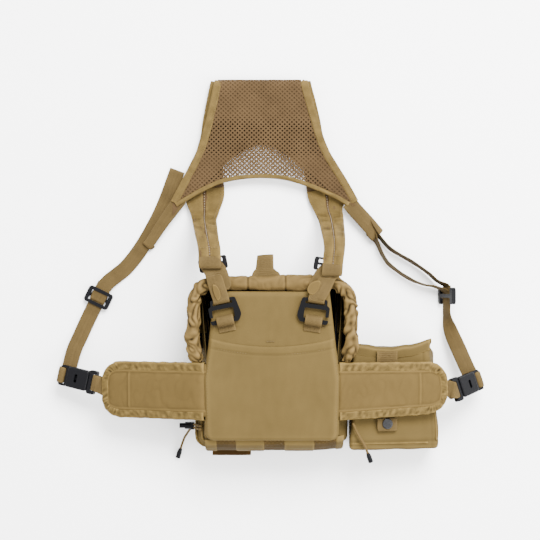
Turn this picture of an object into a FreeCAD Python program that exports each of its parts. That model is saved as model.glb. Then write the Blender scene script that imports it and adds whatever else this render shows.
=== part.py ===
import FreeCAD, Part
import math
import os

# Binocular harness pack, millimetres.
# The pack lies on the front face of its case: +Z points to the wearer's side,
# +Y to the yoke, +X to the wing that carries the pouch.
# The origin is the middle of the case's front face, on the resting plane.

V = FreeCAD.Vector
X_AXIS = V(1, 0, 0)
Y_AXIS = V(0, 1, 0)
Z_AXIS = V(0, 0, 1)

# ---- driving dimensions ----
side_webbing_width = 20.0
side_webbing_thickness = 1.6
hook_webbing_width = 22.0
cord_diameter = 3.0

case_inner_half = 91.0        # half width inside the side gussets
case_outer_half = 95.0
case_step_in = 7.5            # the walls stand in beside the lid, clear of its rim
case_step_y = -12.0
case_bottom_y = -105.0
case_mouth_y = 100.0
pocket_depth = 22.0           # front pocket, under the case
case_floor_z = 26.0
zipper_parked_x = -58.0
panel_low_z = 88.0
panel_top_z = 98.0
panel_cover = 1.5             # fabric round the back panel's foam

lid_hinge_y = 30.0
lid_inner_half = 96.5
lid_wall = 3.0
lid_top_y = 101.5
rim_radius = 9.0
rim_y = 99.6
rim_z = 91.0
rim_half = 97.5
rim_corner = 20.0
rim_end_y = 4.0
elastic_radius = 2.5

wing_root_x = 87.5
wing_root_z = 92.5
wing_length = 136.0
wing_low_y = -73.0
wing_high_y = 0.0
wing_thickness = 9.0
wing_corner = 25.0

# side: (droop of the wing, yaw and pitch of its buckle, buckle base)
left_wing_end_low_y = -71.0
right_wing_end_low_y = -62.0
left_droop = 19.0
left_buckle_yaw = 12.0
left_buckle_pitch = 19.0
left_buckle_base = V(224.6, -29.0, 45.0)
right_droop = 10.0
right_buckle_yaw = 18.0
right_buckle_pitch = 41.0
right_buckle_base = V(230.0, -37.0, 64.0)

yoke_low_z = 12.0
yoke_thickness = 7.5
yoke_fold_y = 353.5
yoke_binding_width = 5.0
strap_layer = 7.5             # shoulder strap, lying on the resting plane

pouch_left = 103.0
pouch_wall = 3.0
flap_left = 107.3             # clear of the lid's rim when the flap swings past it
pouch_low_y = -112.0
pouch_high_y = 19.0
pouch_low_z = 4.0
snap_y = -77.8

ladder_lock_z = 96.8
hook_axis_y = 53.0
hook_axis_z = 103.5
left_hook_x = -58.0
right_hook_x = 51.5
left_hook_lean = 11.5
right_hook_lean = -8.0


# ---- small helpers ----
def box(x0, x1, y0, y1, z0, z1):
    return Part.makeBox(x1 - x0, y1 - y0, z1 - z0, V(x0, y0, z0))


def prism(points, direction):
    ring = [V(*p) for p in points]
    wire = Part.makePolygon(ring + [ring[0]])
    return Part.Face(wire).extrude(direction)


def prism_x(points_yz, x0, x1):
    return prism([(x0, y, z) for y, z in points_yz], V(x1 - x0, 0, 0))


def prism_y(points_xz, y0, y1):
    return prism([(x, y0, z) for x, z in points_xz], V(0, y1 - y0, 0))


def rounded_wire(points, radii, z):
    """Closed outline with an arc at each corner whose radius is over zero."""
    edges = []
    ends = []
    count = len(points)
    for i in range(count):
        corner = V(points[i][0], points[i][1], z)
        before = V(points[i - 1][0], points[i - 1][1], z) - corner
        after = V(points[(i + 1) % count][0], points[(i + 1) % count][1], z) - corner
        before.normalize()
        after.normalize()
        if radii[i] <= 0:
            ends.append((corner, corner))
            continue
        half = before.getAngle(after) / 2
        reach = radii[i] / math.tan(half)
        first = corner + before * reach
        last = corner + after * reach
        inward = before + after
        inward.normalize()
        middle = corner + inward * (radii[i] / math.sin(half) - radii[i])
        edges.append((i, Part.Arc(first, middle, last).toShape()))
        ends.append((first, last))
    arcs = dict(edges)
    ordered = []
    for i in range(count):
        if i in arcs:
            ordered.append(arcs[i])
        start = ends[i][1]
        stop = ends[(i + 1) % count][0]
        if start.distanceToPoint(stop) > 1e-6:
            ordered.append(Part.makeLine(start, stop))
    return Part.Wire(ordered)


def plate(points, radii, z0, z1):
    return Part.Face(rounded_wire(points, radii, z0)).extrude(V(0, 0, z1 - z0))


def rounded_plate(x0, x1, y0, y1, z0, z1, radius):
    corners = [(x0, y0), (x1, y0), (x1, y1), (x0, y1)]
    return plate(corners, [radius] * 4, z0, z1)


def fuse(shapes):
    return shapes[0].multiFuse(shapes[1:]).removeSplitter()


def placed(shape, placement):
    moved = shape.copy()
    moved.Placement = placement.multiply(moved.Placement)
    return moved


def mirrored(shape):
    return shape.mirror(V(0, 0, 0), X_AXIS)


def on_side(shape, side):
    return mirrored(shape) if side == "left" else shape


def axes(origin, along, across):
    """Placement whose x runs along, whose y lies nearest to across."""
    x_dir = V(along).normalize()
    z_dir = x_dir.cross(across).normalize()
    y_dir = z_dir.cross(x_dir)
    return FreeCAD.Placement(origin, FreeCAD.Rotation(x_dir, y_dir, z_dir, "XYZ"))


def drooped(droop):
    """Frame of a right-hand wing: x outward along the slope, z out of its face."""
    return FreeCAD.Placement(V(wing_root_x, 0, wing_root_z), FreeCAD.Rotation(Y_AXIS, droop))


def buckle_frame(base, yaw, pitch):
    turn = FreeCAD.Rotation(Z_AXIS, yaw).multiply(FreeCAD.Rotation(Y_AXIS, pitch))
    return FreeCAD.Placement(base, turn)


def ribbon(stations, width, thickness):
    """Flat webbing through stations: (x, y, z, width direction)."""
    centres = [V(s[0], s[1], s[2]) for s in stations]
    wires = []
    for i, station in enumerate(stations):
        ahead = centres[min(i + 1, len(centres) - 1)] - centres[max(i - 1, 0)]
        ahead.normalize()
        across = V(*station[3])
        across = (across - ahead * across.dot(ahead)).normalize() * (width / 2)
        normal = ahead.cross(across).normalize() * (thickness / 2)
        centre = centres[i]
        corners = [centre + across + normal, centre - across + normal,
                   centre - across - normal, centre + across - normal]
        wires.append(Part.makePolygon(corners + [corners[0]]))
    return Part.makeLoft(wires, True, True)


def tube(name, points, radius, corner_radii=None):
    """Straight runs joined by tangent arcs; prints the arc radii and the volume's error."""
    route = [V(*p) for p in points]
    edges = []
    start = route[0]
    radii = []
    for i in range(1, len(route) - 1):
        before = route[i - 1] - route[i]
        after = route[i + 1] - route[i]
        turn = math.pi - before.getAngle(after)
        shorter = min(before.Length, after.Length)
        bend = 0.45 * shorter / math.tan(turn / 2)
        if corner_radii:
            bend = corner_radii[i - 1]
        reach = bend * math.tan(turn / 2)
        before.normalize()
        after.normalize()
        first = route[i] + before * reach
        last = route[i] + after * reach
        inward = (before + after).normalize()
        middle = route[i] + inward * (bend / math.cos(turn / 2) - bend)
        edges.append(Part.makeLine(start, first))
        edges.append(Part.Arc(first, middle, last).toShape())
        start = last
        radii.append(round(bend, 1))
    edges.append(Part.makeLine(start, route[-1]))
    path = Part.Wire(edges)
    ring = Part.Wire(Part.makeCircle(radius, route[0], route[1] - route[0]))
    solid = path.makePipeShell([ring], True, False)
    ideal = math.pi * radius ** 2 * path.Length
    print(name, "length", round(path.Length, 1), "radii", radii,
          "volume error", round(solid.Volume / ideal - 1, 4))
    return solid


def c_loop(start, bar_end, half_width, reach, gap):
    """Webbing folded round a bar, in a buckle's frame: closed at bar_end, tapering to start."""
    outer = [(start, -0.9), (start + 5, -reach), (bar_end, -reach),
             (bar_end, reach), (start + 5, reach), (start, 0.9)]
    body = prism_y(outer, -half_width, half_width)
    return body.cut(box(gap[0], gap[1], -half_width - 1, half_width + 1, -gap[2], gap[2]))


def save(name, shape):
    solids = shape.Solids
    assert shape.isValid() and solids, name
    low = shape.BoundBox
    print(f"{name:26s} {len(solids)} solid, {sum(s.Volume for s in solids) / 1000:8.2f} cm3, "
          f"x {low.XMin:7.1f} {low.XMax:7.1f}  y {low.YMin:7.1f} {low.YMax:7.1f}  "
          f"z {low.ZMin:6.1f} {low.ZMax:6.1f}")
    kept = solids[0] if len(solids) == 1 else Part.makeCompound(solids)
    kept.exportStep(f"parts/{name}.step")


# ---- case: front panel, gussets, back panel, lining ----
def make_case():
    mouth_half = case_inner_half - case_step_in
    low_y = case_bottom_y + 4
    front_outline = [(-case_inner_half, low_y), (case_inner_half, low_y),
                     (case_inner_half, case_step_y), (mouth_half, case_step_y),
                     (mouth_half, case_mouth_y), (-mouth_half, case_mouth_y),
                     (-mouth_half, case_step_y), (-case_inner_half, case_step_y)]
    front = plate(front_outline, [8, 8, 0, 0, 8, 8, 0, 0], pocket_depth, case_floor_z)
    save("case_front_panel", front)

    # a gusset stands on the front panel's edge, leans in to the back panel, steps in beside the
    # lid and is cut down towards the mouth
    section = [(case_inner_half, pocket_depth), (case_outer_half, pocket_depth),
               (case_outer_half, 64), (86, 85), (82.5, 85), (case_inner_half, 62)]
    mouth_section = [(mouth_half, pocket_depth), (mouth_half + 4, pocket_depth),
                     (mouth_half + 4, 64), (83.5, 85), (80.5, 85), (mouth_half, 62)]
    step = [(mouth_half, pocket_depth), (case_outer_half, pocket_depth), (case_outer_half, 64),
            (86, 85), (80.5, 85), (mouth_half, 62)]
    wall = fuse([prism_y(section, low_y, case_step_y),
                 prism_y(mouth_section, case_step_y, case_mouth_y),
                 prism_y(step, case_step_y, case_step_y + 3)])
    mouth_cut = prism_x([(0, 100), (0, 84), (case_mouth_y + 1, 55), (case_mouth_y + 1, 100)], 60, 110)
    wall = wall.cut(mouth_cut)
    save("side_gussets", Part.makeCompound([wall, mirrored(wall)]))

    bottom = prism_x([(case_bottom_y, pocket_depth), (low_y, pocket_depth),
                      (low_y, 85), (-97, 87.8), (-103, 85), (-108, 55)],
                     -case_outer_half, case_outer_half)
    save("bottom_gusset", bottom)

    outline = [(-83, -97), (83, -97), (85.5, -20), (80, 20), (74.5, 70), (72, 89.5),
               (-72, 89.5), (-74.5, 70), (-80, 20), (-85.5, -20)]
    corner = [10, 10, 0, 0, 0, 3, 3, 0, 0, 0]
    whole = plate(outline, corner, panel_low_z, panel_top_z)
    core = plate([(x * 0.94, y * 0.94) for x, y in outline], [0] * len(outline),
                 panel_low_z + panel_cover, panel_top_z - panel_cover)
    save("back_panel", whole.cut(core))
    save("back_panel_foam", core)

    pocket = plate([(-82, -96), (82, -96), (84.5, -20), (82, 24), (-82, 24), (-84.5, -20)],
                   [10, 10, 0, 0, 0, 0], panel_top_z, panel_top_z + 1.6)
    scoop = Part.makeCylinder(330, 6, V(0, 350, panel_top_z - 2))
    save("slip_pocket", pocket.cut(scoop))

    lining_gap = 0.1
    half = case_inner_half - lining_gap
    narrow = mouth_half - lining_gap
    step_y = case_step_y - lining_gap
    outer = fuse([box(-half, half, case_bottom_y + 4.1, step_y, case_floor_z, 62),
                  box(-narrow, narrow, step_y - 1, case_mouth_y - 1, case_floor_z, 62)])
    inner = fuse([box(-half + 1, half - 1, case_bottom_y + 5.1, step_y - 1, case_floor_z + 1, 70),
                  box(-narrow + 1, narrow - 1, step_y - 2, case_mouth_y + 1, case_floor_z + 1, 70)])
    lining = outer.cut(inner).cut(mouth_cut)
    save("case_lining", lining.cut(mirrored(mouth_cut)))


# ---- front pocket with its zipper, under the case ----
def make_front_pocket():
    save("front_pocket", rounded_plate(-80, 80, -95, 14, 0, pocket_depth, 14))
    tape = box(-70, 70, 14, 15.2, 4, 9.2).fuse(box(-70, 70, 14, 15.2, 11.8, 17))
    teeth = box(-66, 66, 14.1, 15.6, 9.3, 11.7)
    save("zipper_tape", Part.makeCompound(tape.Solids + [teeth]))
    slider = fuse([box(-5, 5, 16, 19, 7.5, 13.5), box(-1.2, 1.2, 18.5, 20.5, 9, 12)])
    puller = box(-3, 3, 19.4, 20.8, 3.0, 15.0).cut(box(-1.6, 1.6, 18, 24, 8.6, 12.4))
    parked = FreeCAD.Placement(V(zipper_parked_x, 0, 0), FreeCAD.Rotation())
    save("zipper_slider", placed(Part.makeCompound([slider, puller]), parked))


# ---- lid: hood, gathered rim, elastic, lining, tab ----
def rim_route():
    return [(-rim_half, rim_end_y, rim_z), (-rim_half, rim_y, rim_z),
            (rim_half, rim_y, rim_z), (rim_half, rim_end_y, rim_z)]


def make_lid():
    rim_solid = tube("lid_rim", rim_route(), rim_radius, [rim_corner, rim_corner])
    elastic = tube("rim_elastic", rim_route(), elastic_radius, [rim_corner, rim_corner])
    save("lid_rim", rim_solid.cut(elastic))
    save("rim_elastic", elastic)

    outer_half = lid_inner_half + lid_wall
    top = lid_top_y + lid_wall
    profile = [(lid_hinge_y + 2, 18.5), (top, 18.5), (top, rim_z), (rim_end_y + 2, rim_z),
               (24, 40)]
    skirt_profile = prism_x(profile, -outer_half, outer_half)
    hollow = box(-lid_inner_half, lid_inner_half, -50, lid_top_y, 21.7, 200)
    hood = skirt_profile.cut(hollow).cut(rim_solid)
    save("lid_hood", max(hood.Solids, key=lambda s: s.Volume))

    liner_half = lid_inner_half - 0.1
    liner = box(-liner_half, liner_half, 40, lid_top_y - 0.1, 62, rim_z - rim_radius)
    liner = liner.cut(box(-liner_half + 0.8, liner_half - 0.8, 30, lid_top_y - 0.9, 20, 200))
    save("lid_lining", liner)

    tab = fuse([rounded_plate(-22, 4, 110, 135, 86.5, 88.7, 1.0),
                rounded_plate(-22, 4, 110, 135, 92.3, 94.5, 1.0),
                box(-22, 4, 132.8, 135, 86.5, 94.5)])
    foot = box(-27, 9, 105, 112, 84, 86.4).cut(rim_solid)
    tab = fuse([tab, foot, box(-22, 4, 110, 112, 86.3, 88)])
    save("lid_pull_tab", tab.cut(rim_solid))


# ---- wings ----
def make_wing(side, droop, end_low_y):
    half = wing_thickness / 2
    outline = [(0, wing_low_y), (wing_length, end_low_y), (wing_length, wing_high_y), (0, wing_high_y)]
    pad = plate(outline, [0, wing_corner, wing_corner, 0], -half, half)
    pad = placed(pad, drooped(droop))
    save(f"{side}_wing_pad", on_side(pad, side))
    return pad


# ---- side-release buckles ----
male_half = 15.4
female_half = 13.2
cavity_half = 10.6


def buckle_pieces():
    base = rounded_plate(0, 11, -male_half, male_half, -3.6, 3.6, 2.5)
    base = base.cut(box(2.2, 6.6, -cavity_half, cavity_half, -5, 5))
    base = base.makeFillet(0.8, [e for e in base.Edges if e.BoundBox.ZLength < 0.01
                                 and abs(e.CenterOfMass.x - 4.4) > 2.6])
    tongue = box(10.5, 31, -2.4, 2.4, -1.6, 1.6)
    male = fuse([base, tongue])

    arm = [(11.3, 5.2), (11.3, 8.8), (20, 9.2), (23.5, 12.4), (31, 12.0), (34, 8.8), (31, 6.8),
           (20, 6.2)]
    upper = prism([(x, y, -2.1) for x, y in arm], V(0, 0, 4.2))
    lower = upper.mirror(V(0, 0, 0), Y_AXIS)

    shell = rounded_plate(11.4, 41, -female_half, female_half, -5.5, 5.5, 3)
    shell = shell.makeFillet(1.8, [e for e in shell.Edges if e.BoundBox.ZLength < 0.01])
    shell = shell.cut(box(10, 38.5, -cavity_half, cavity_half, -3.3, 3.3))
    shell = shell.cut(box(10, 33.2, -20, 20, -2.7, 2.7))
    shell = shell.cut(rounded_plate(26, 30, -5.5, 5.5, 2, 8, 1.9))
    frame = rounded_plate(40, 52, -female_half, female_half, -3.4, 3.4, 2.5)
    frame = frame.cut(box(43.6, 48.6, -cavity_half, cavity_half, -5, 5))
    female = fuse([shell, frame])

    front_loop = c_loop(-9.5, 6.3, side_webbing_width / 2, 5.0, (-3, 2.4, 3.8))
    bar = box(0, 2.3, -cavity_half, cavity_half, -3.7, 3.7)
    front_loop = front_loop.cut(bar)
    return male, upper, lower, female, front_loop


def make_buckle(side, wing, base, yaw, pitch):
    frame = buckle_frame(base, yaw, pitch)
    names = ["buckle_male", "buckle_upper_prong", "buckle_lower_prong", "buckle_female",
             "wing_webbing"]
    for name, piece in zip(names, buckle_pieces()):
        piece = placed(piece, frame)
        if name == "wing_webbing":
            piece = piece.cut(wing)
        save(f"{side}_{name}", on_side(piece, side))


# ---- side straps with their three-bar slides ----
def triglide(placement):
    """x along the webbing, y across it, z out of its face; the webbing passes at z = 0."""
    rails = [box(-11, 11, 12.0, 17.0, -3.0, 3.4), box(-11, 11, -17.0, -12.0, -3.0, 3.4)]
    bars = [box(-11, -6.6, -14, 14, 1.3, 3.4), box(6.6, 11, -14, 14, 1.3, 3.4),
            box(-2.4, 2.4, -14, 14, -3.0, -1.3)]
    outline = rounded_plate(-11, 11, -17, 17, -3.2, 3.6, 4)
    body = fuse(rails + bars).common(outline)
    return placed(body, placement)


def make_left_strap():
    flat = (0.9, -0.44, 0.0)
    level = 5.0
    lower = [(-261, -4, 20, (1, 0.1, 0)), (-257, 13, 12, (1, -0.1, 0)), (-249, 32, 6.5, (0.95, -0.3, 0)),
             (-240, 52, level, flat), (-221, 91, level, flat)]
    save("left_lower_strap", ribbon(lower, side_webbing_width, side_webbing_thickness))
    centre = V(-226.4, 80.0, level)
    save("left_triglide", triglide(axes(centre, V(19, 39, 0), V(-39, 19, 0))))
    upper = [(-216.5, 98.5, 4, (0.75, -0.66, 0)), (-206, 107, 3, (0.6, -0.8, 0)),
             (-190, 120, 3, (0.7, -0.7, 0)), (-172, 143, 3, (0.84, -0.54, 0)),
             (-156, 170, 3, (0.87, -0.5, 0)), (-139, 204, 3, (0.89, -0.45, 0)),
             (-124.5, 243, 3, (0.85, -0.53, 0))]
    save("left_upper_strap", ribbon(upper, side_webbing_width, side_webbing_thickness))


def make_right_strap():
    edge_on = (0.42, 0.0, 0.91)
    level = 18.0
    lower = [(251, -10, 31, (0.96, 0.28, 0.0)), (242, 13, 22, (0.97, 0.2, 0.1)),
             (232, 37, 18, (0.85, 0.2, 0.48)), (227, 58, level, edge_on), (227, 94, level, edge_on)]
    save("right_lower_strap", ribbon(lower, side_webbing_width, side_webbing_thickness))
    centre = V(227, 82.5, level)
    save("right_triglide", triglide(axes(centre, Y_AXIS, V(*edge_on))))
    upright = (0.15, 0.1, 1)
    outer_run = [(124, 184, 11, upright), (140, 159, 11, upright), (156, 142, 11, upright),
                 (180, 128, 11, upright), (202, 113, 12, upright), (214, 102, 13, upright)]
    inner_run = [(136, 156, 11, upright), (143, 137, 11, upright), (155, 121, 11, upright),
                 (180, 104, 11, upright), (196, 97, 12, upright), (211, 94, 13, upright)]
    runs = [ribbon(run, side_webbing_width, side_webbing_thickness).cut(right_tail())
            for run in (outer_run, inner_run)]
    save("right_upper_strap", Part.makeCompound(runs))


# ---- yoke and shoulder straps ----
def curve(points, z):
    spline = Part.BSplineCurve()
    spline.interpolate([V(x, y, z) for x, y in points])
    return spline.toShape()


def yoke_face(z, inset):
    left = [(-71 + inset, yoke_fold_y), (-82.5 + inset, 310), (-90 + inset, 284),
            (-105 + inset, 248), (-128 + inset, 205)]
    hem = [(-128 + inset, 205), (-111, 204 + inset), (-87, 220 + inset), (-50, 232.5 + inset),
           (-12, 238.5 + inset), (25, 233 + inset), (56, 220 + inset), (95 - inset * 0.3, 192 + inset)]
    right = [(95 - inset * 0.3, 192 + inset), (110 - inset, 206 + inset * 0.4), (95.5 - inset, 232),
             (80.5 - inset, 259), (66 - inset, 286), (54 - inset, 330), (46 - inset, yoke_fold_y)]
    parts = [curve(left, z), Part.makeLine(V(*hem[0], z), V(*hem[1], z)), curve(hem[1:], z),
             Part.makeLine(V(*right[0], z), V(*right[1], z)), curve(right[1:], z),
             Part.makeLine(V(*right[-1], z), V(*left[0], z))]
    return Part.Face(Part.Wire(parts))


def right_tail():
    across = (0.7, 0.7, 0)
    stations = [(104, 198, 14.5, across), (118, 183, 14.5, across), (134, 165, 14.0, across)]
    return ribbon(stations, side_webbing_width, 3)


def make_yoke():
    lift = V(0, 0, yoke_thickness)
    whole = yoke_face(yoke_low_z, 0).extrude(lift)
    field = yoke_face(yoke_low_z, yoke_binding_width).extrude(lift)
    middle = (strap_layer + yoke_low_z) / 2
    fold = Part.makeCylinder(middle, 117, V(-71, yoke_fold_y, middle), X_AXIS)
    fold = fold.cut(Part.makeCylinder(middle - strap_layer, 120, V(-72, yoke_fold_y, middle), X_AXIS))
    fold = fold.common(box(-80, 60, yoke_fold_y, 400, -1, 40))
    save("yoke_mesh", field.fuse(fold).removeSplitter())
    save("yoke_binding", whole.cut(field))
    tail_z = 14.5
    left_tail = [(-121.5, 203.5, tail_z, (0.9, 0.05, 0)), (-138, 182, 13, (0.85, -0.4, 0)),
                 (-160, 150, 10, (0.83, -0.55, 0))]
    left = ribbon(left_tail, 15, 3)
    save("yoke_tails", Part.makeCompound([left.cut(whole), right_tail().cut(whole)]))


def shoulder_sheet(end_y):
    """Side view of a shoulder strap, from the fold down to the ladder lock."""
    under = [(yoke_fold_y, 0.0), (196, 0.0), (182, 14), (166, 54), (150, 92), (end_y + 8, 103),
             (end_y, 103.5)]
    over = [(end_y, 108.5), (end_y + 10, 108.5), (156, 97), (174, 60), (188, 18.5), (197, strap_layer),
            (yoke_fold_y, strap_layer)]
    return prism_x(under + over, -140, 140)


def make_shoulder_straps():
    left_plan = plate([(-74, 400), (-22, 400), (-22, 352), (-60, 215), (-72, 180), (-64, 140), (-63, 110),
                       (-89, 110), (-92, 145), (-103, 180), (-112, 210), (-74, 354)],
                      [0] * 12, -5, 130)
    right_plan = plate([(-2, 400), (47, 400), (47, 354), (88, 215), (92, 180), (91, 145), (86, 110),
                        (62, 110), (65, 145), (60, 180), (44, 215), (-2, 352)],
                       [0] * 12, -5, 130)
    save("left_shoulder_strap", shoulder_sheet(122).common(left_plan))
    save("right_shoulder_strap", shoulder_sheet(115).common(right_plan))


def ladder_lock(x, y, lean):
    body = rounded_plate(-18, 18, -8.5, 8.5, 0, 3, 3)
    body = body.cut(box(-12.5, 12.5, -5.8, -1.6, -1, 5)).cut(box(-12.5, 12.5, 1.6, 5.8, -1, 5))
    ends = [e for e in body.Edges if e.BoundBox.ZLength < 0.01 and abs(e.CenterOfMass.x) > 13]
    body = body.makeFillet(0.9, ends)
    turn = FreeCAD.Rotation(Z_AXIS, lean)
    return placed(body, FreeCAD.Placement(V(x, y, ladder_lock_z), turn))


# ---- hooks at the top of the back panel ----
def g_hook(lean, x, gate_side):
    """Flat hook: a slot and top bar for the strap, a broad limb and a free lower bar for the loop."""
    outline = [(-18, -3), (17, -3), (21.5, 5), (17.5, 27.5), (-14, 27.5), (-14.5, 20.5), (-18, 18)]
    body = plate(outline, [3, 5, 8, 3, 2, 1, 2], -1.5, 1.5)
    body = body.cut(rounded_plate(-11.6, 13.2, 20.4, 23.9, -3, 3, 1.2))
    body = body.cut(rounded_plate(-14.2, 13.0, 2.2, 15.2, -3, 3, 2))
    body = body.cut(box(-19, -13, 2.2, 6.2, -3, 3))
    if gate_side < 0:
        body = mirrored(body)
    turn = FreeCAD.Rotation(Z_AXIS, lean)
    return placed(body, FreeCAD.Placement(V(x, hook_axis_y, hook_axis_z), turn))


def hook_loop(lean, x):
    ring = Part.makeCylinder(7, hook_webbing_width, V(-hook_webbing_width / 2, 0, 0), X_AXIS)
    ring = ring.cut(Part.makeCylinder(5.2, 40, V(-20, 0, 0), X_AXIS))
    ring = placed(ring, FreeCAD.Placement(V(x, hook_axis_y, hook_axis_z), FreeCAD.Rotation(Z_AXIS, lean)))
    return ring.common(box(-90, 90, 0, 90, panel_top_z, 130))


def make_hooks():
    sides = [("left", left_hook_x, left_hook_lean, 1, (-73.5, 111.5)),
             ("right", right_hook_x, right_hook_lean, -1, (70.0, 107.5))]
    loops = []
    for side, x, lean, gate_side, top in sides:
        angle = math.radians(lean)
        along = V(-math.sin(angle), math.cos(angle), 0)
        across = (math.cos(angle), math.sin(angle), 0)
        low = V(x, hook_axis_y, hook_axis_z) + along * 24.0
        save(f"{side}_g_hook", g_hook(lean, x, gate_side))
        loops.append(hook_loop(lean, x))
        middle = low + (V(top[0], top[1], hook_axis_z) - low) * 0.35
        stations = [(low.x, low.y, hook_axis_z + 2.6, across),
                    (middle.x, middle.y, hook_axis_z + 2.6, across),
                    (top[0], top[1], 103.6, across)]
        save(f"{side}_hook_strap", ribbon(stations, hook_webbing_width, side_webbing_thickness))
    save("hook_loops", Part.makeCompound(loops))
    save("ladder_locks", Part.makeCompound([ladder_lock(-73.5, 123.5, 12), ladder_lock(70, 122, -10)]))


# ---- pouch under the right wing ----
def make_pouch():
    section = [(pouch_left, pouch_low_z), (206, pouch_low_z), (210, 59.5), (pouch_left, 78.5)]
    inner = [(pouch_left + pouch_wall, pouch_low_z + pouch_wall), (203, pouch_low_z + pouch_wall),
             (206.6, 56.9), (pouch_left + pouch_wall, 75.2)]
    body = prism_y(section, pouch_low_y, pouch_high_y)
    body = body.cut(prism_y(inner, pouch_low_y + pouch_wall, pouch_high_y + 1))
    save("pouch_body", body)

    # the flap covers the mouth and laps down over the front
    top_wall = prism_y([(flap_left, -0.5), (208, -0.5), (211, 58.5), (flap_left, 76.7)],
                       pouch_high_y + 0.5, pouch_high_y + 3.5)
    lap = box(flap_left, 208, pouch_high_y - 45, pouch_high_y + 3.5, 0.4, 3.4)
    flap = fuse([top_wall.common(box(0, 300, -200, 200, 0.4, 100)), lap])
    save("pouch_flap", flap)

    # the back strap is woven behind the wing, in the wing's own slope
    frame = drooped(right_droop)
    at = 47.0
    save("pouch_back_strap", placed(box(at, at + 26, -70.2, 13, -8.2, -6.4), frame))
    rows = [box(20, 122, -26, -6, -6.2, -4.7), box(20, 122, -60, -40, -6.2, -4.7)]
    save("wing_webbing_rows", placed(Part.makeCompound(rows), frame))
    tab = rounded_plate(at, at + 26, -87, -70.6, -8.2, -6.2, 2)
    save("snap_tab", placed(tab, frame))
    cap = Part.makeCylinder(6.7, 1.6, V(at + 13, snap_y, -6.2))
    cap = cap.makeFillet(0.9, [e for e in cap.Edges if abs(e.CenterOfMass.z + 4.6) < 0.01])
    save("snap_cap", placed(cap, frame))
    save("snap_stud", placed(Part.makeCylinder(4, 1.4, V(at + 13, snap_y, -9.9)), frame).cut(body))


# ---- shock cords, lock and tips ----
def make_cords():
    radius = cord_diameter / 2
    lock_z = 52.0
    fall = V(-9.5, 0, -24)
    strands = [Part.makeCylinder(radius, fall.Length, V(-91.3, y, 79), fall) for y in (-80.2, -84.2)]
    barrel = Part.makeCylinder(4.6, 12, V(-98.8, -82.2, lock_z), V(-1, 0, 0))
    barrel = barrel.fuse(box(-103, -98.8, -86.8, -77.6, lock_z - 3, lock_z + 8))
    well = Part.makeCylinder(3.5, 8, V(-103.0, -82.2, lock_z), V(-1, 0, 0))
    barrel = barrel.cut(well)
    save("cord_lock_barrel", barrel)
    plunger = Part.makeCylinder(3.3, 11.5, V(-106.5, -82.2, lock_z), V(-1, 0, 0))
    plunger = plunger.cut(Part.makeCylinder(2.85, 6, V(-106.4, -82.2, lock_z), V(-1, 0, 0)))
    save("cord_lock_plunger", plunger)
    coil = Part.makeCylinder(2.6, 3.0, V(-103.1, -82.2, lock_z), V(-1, 0, 0))
    coil = coil.cut(Part.makeCylinder(1.6, 5, V(-102, -82.2, lock_z), V(-1, 0, 0)))
    save("cord_lock_spring", coil)
    stop = box(-140, -98.8, -100, -60, 0, 200)
    joined = [s.cut(stop) for s in strands]
    save("cord_strands", Part.makeCompound([j.Solids[0] for j in joined]))

    left_route = [(-104, -86.6, 47), (-106.5, -90, 34), (-110, -96, 20.5), (-113.5, -101, 10.5),
                  (-116.5, -108.5, 6.0), (-119.2, -117, 5.4)]
    save("left_cord", tube("left_cord", left_route, radius))
    save("left_cord_tip", tip(left_route))
    right_route = [(101.5, -76.0, 86.5), (105.5, -86, 84.8), (111, -95.5, 83.6), (117, -105, 81.5),
                   (120.5, -114.5, 78)]
    save("right_cord", tube("right_cord", right_route, radius))
    save("right_cord_tip", tip(right_route))


def tip(route):
    """Moulded end on a cord, in line with its last run."""
    start = V(*route[-1])
    heading = (start - V(*route[-2])).normalize()
    first = Part.makeCone(2.2, 3.1, 5, start, heading)
    rest = Part.makeCylinder(3.1, 8, start + heading * 5, heading)
    return fuse([first, rest])


# ---- webbing on the bottom gusset ----
def make_bottom_webbing():
    band = prism_x([(-108.8, 52), (-112.0, 52), (-107.2, 82), (-104.3, 82)], -78, 92)
    tab = box(-78, -26, -124, -105.2, 22.5, 24.3)
    save("bottom_webbing", Part.makeCompound([band, tab]))


def main():
    os.makedirs("parts", exist_ok=True)
    make_case()
    make_front_pocket()
    make_lid()
    left_wing = make_wing("left", left_droop, left_wing_end_low_y)
    right_wing = make_wing("right", right_droop, right_wing_end_low_y)
    make_buckle("left", left_wing, left_buckle_base, left_buckle_yaw, left_buckle_pitch)
    make_buckle("right", right_wing, right_buckle_base, right_buckle_yaw, right_buckle_pitch)
    make_left_strap()
    make_right_strap()
    make_yoke()
    make_shoulder_straps()
    make_hooks()
    make_pouch()
    make_cords()
    make_bottom_webbing()


main()
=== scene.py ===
import bpy
import bmesh
import math
from mathutils import Matrix, Vector, noise


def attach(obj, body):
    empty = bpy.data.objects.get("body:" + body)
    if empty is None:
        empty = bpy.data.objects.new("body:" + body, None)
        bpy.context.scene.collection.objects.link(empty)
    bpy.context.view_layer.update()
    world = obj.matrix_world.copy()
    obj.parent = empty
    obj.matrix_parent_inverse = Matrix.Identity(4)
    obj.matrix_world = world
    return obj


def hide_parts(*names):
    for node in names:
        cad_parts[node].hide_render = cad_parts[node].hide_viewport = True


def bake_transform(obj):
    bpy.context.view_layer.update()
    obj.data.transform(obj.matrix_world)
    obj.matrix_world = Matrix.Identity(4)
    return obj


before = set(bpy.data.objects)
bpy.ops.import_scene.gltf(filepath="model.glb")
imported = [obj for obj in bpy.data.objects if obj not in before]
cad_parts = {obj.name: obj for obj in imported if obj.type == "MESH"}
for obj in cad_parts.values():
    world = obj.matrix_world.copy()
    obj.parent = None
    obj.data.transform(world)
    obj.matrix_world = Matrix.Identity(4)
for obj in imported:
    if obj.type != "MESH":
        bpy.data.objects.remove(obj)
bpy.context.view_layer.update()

mm = 0.001
scene = bpy.context.scene


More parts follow.
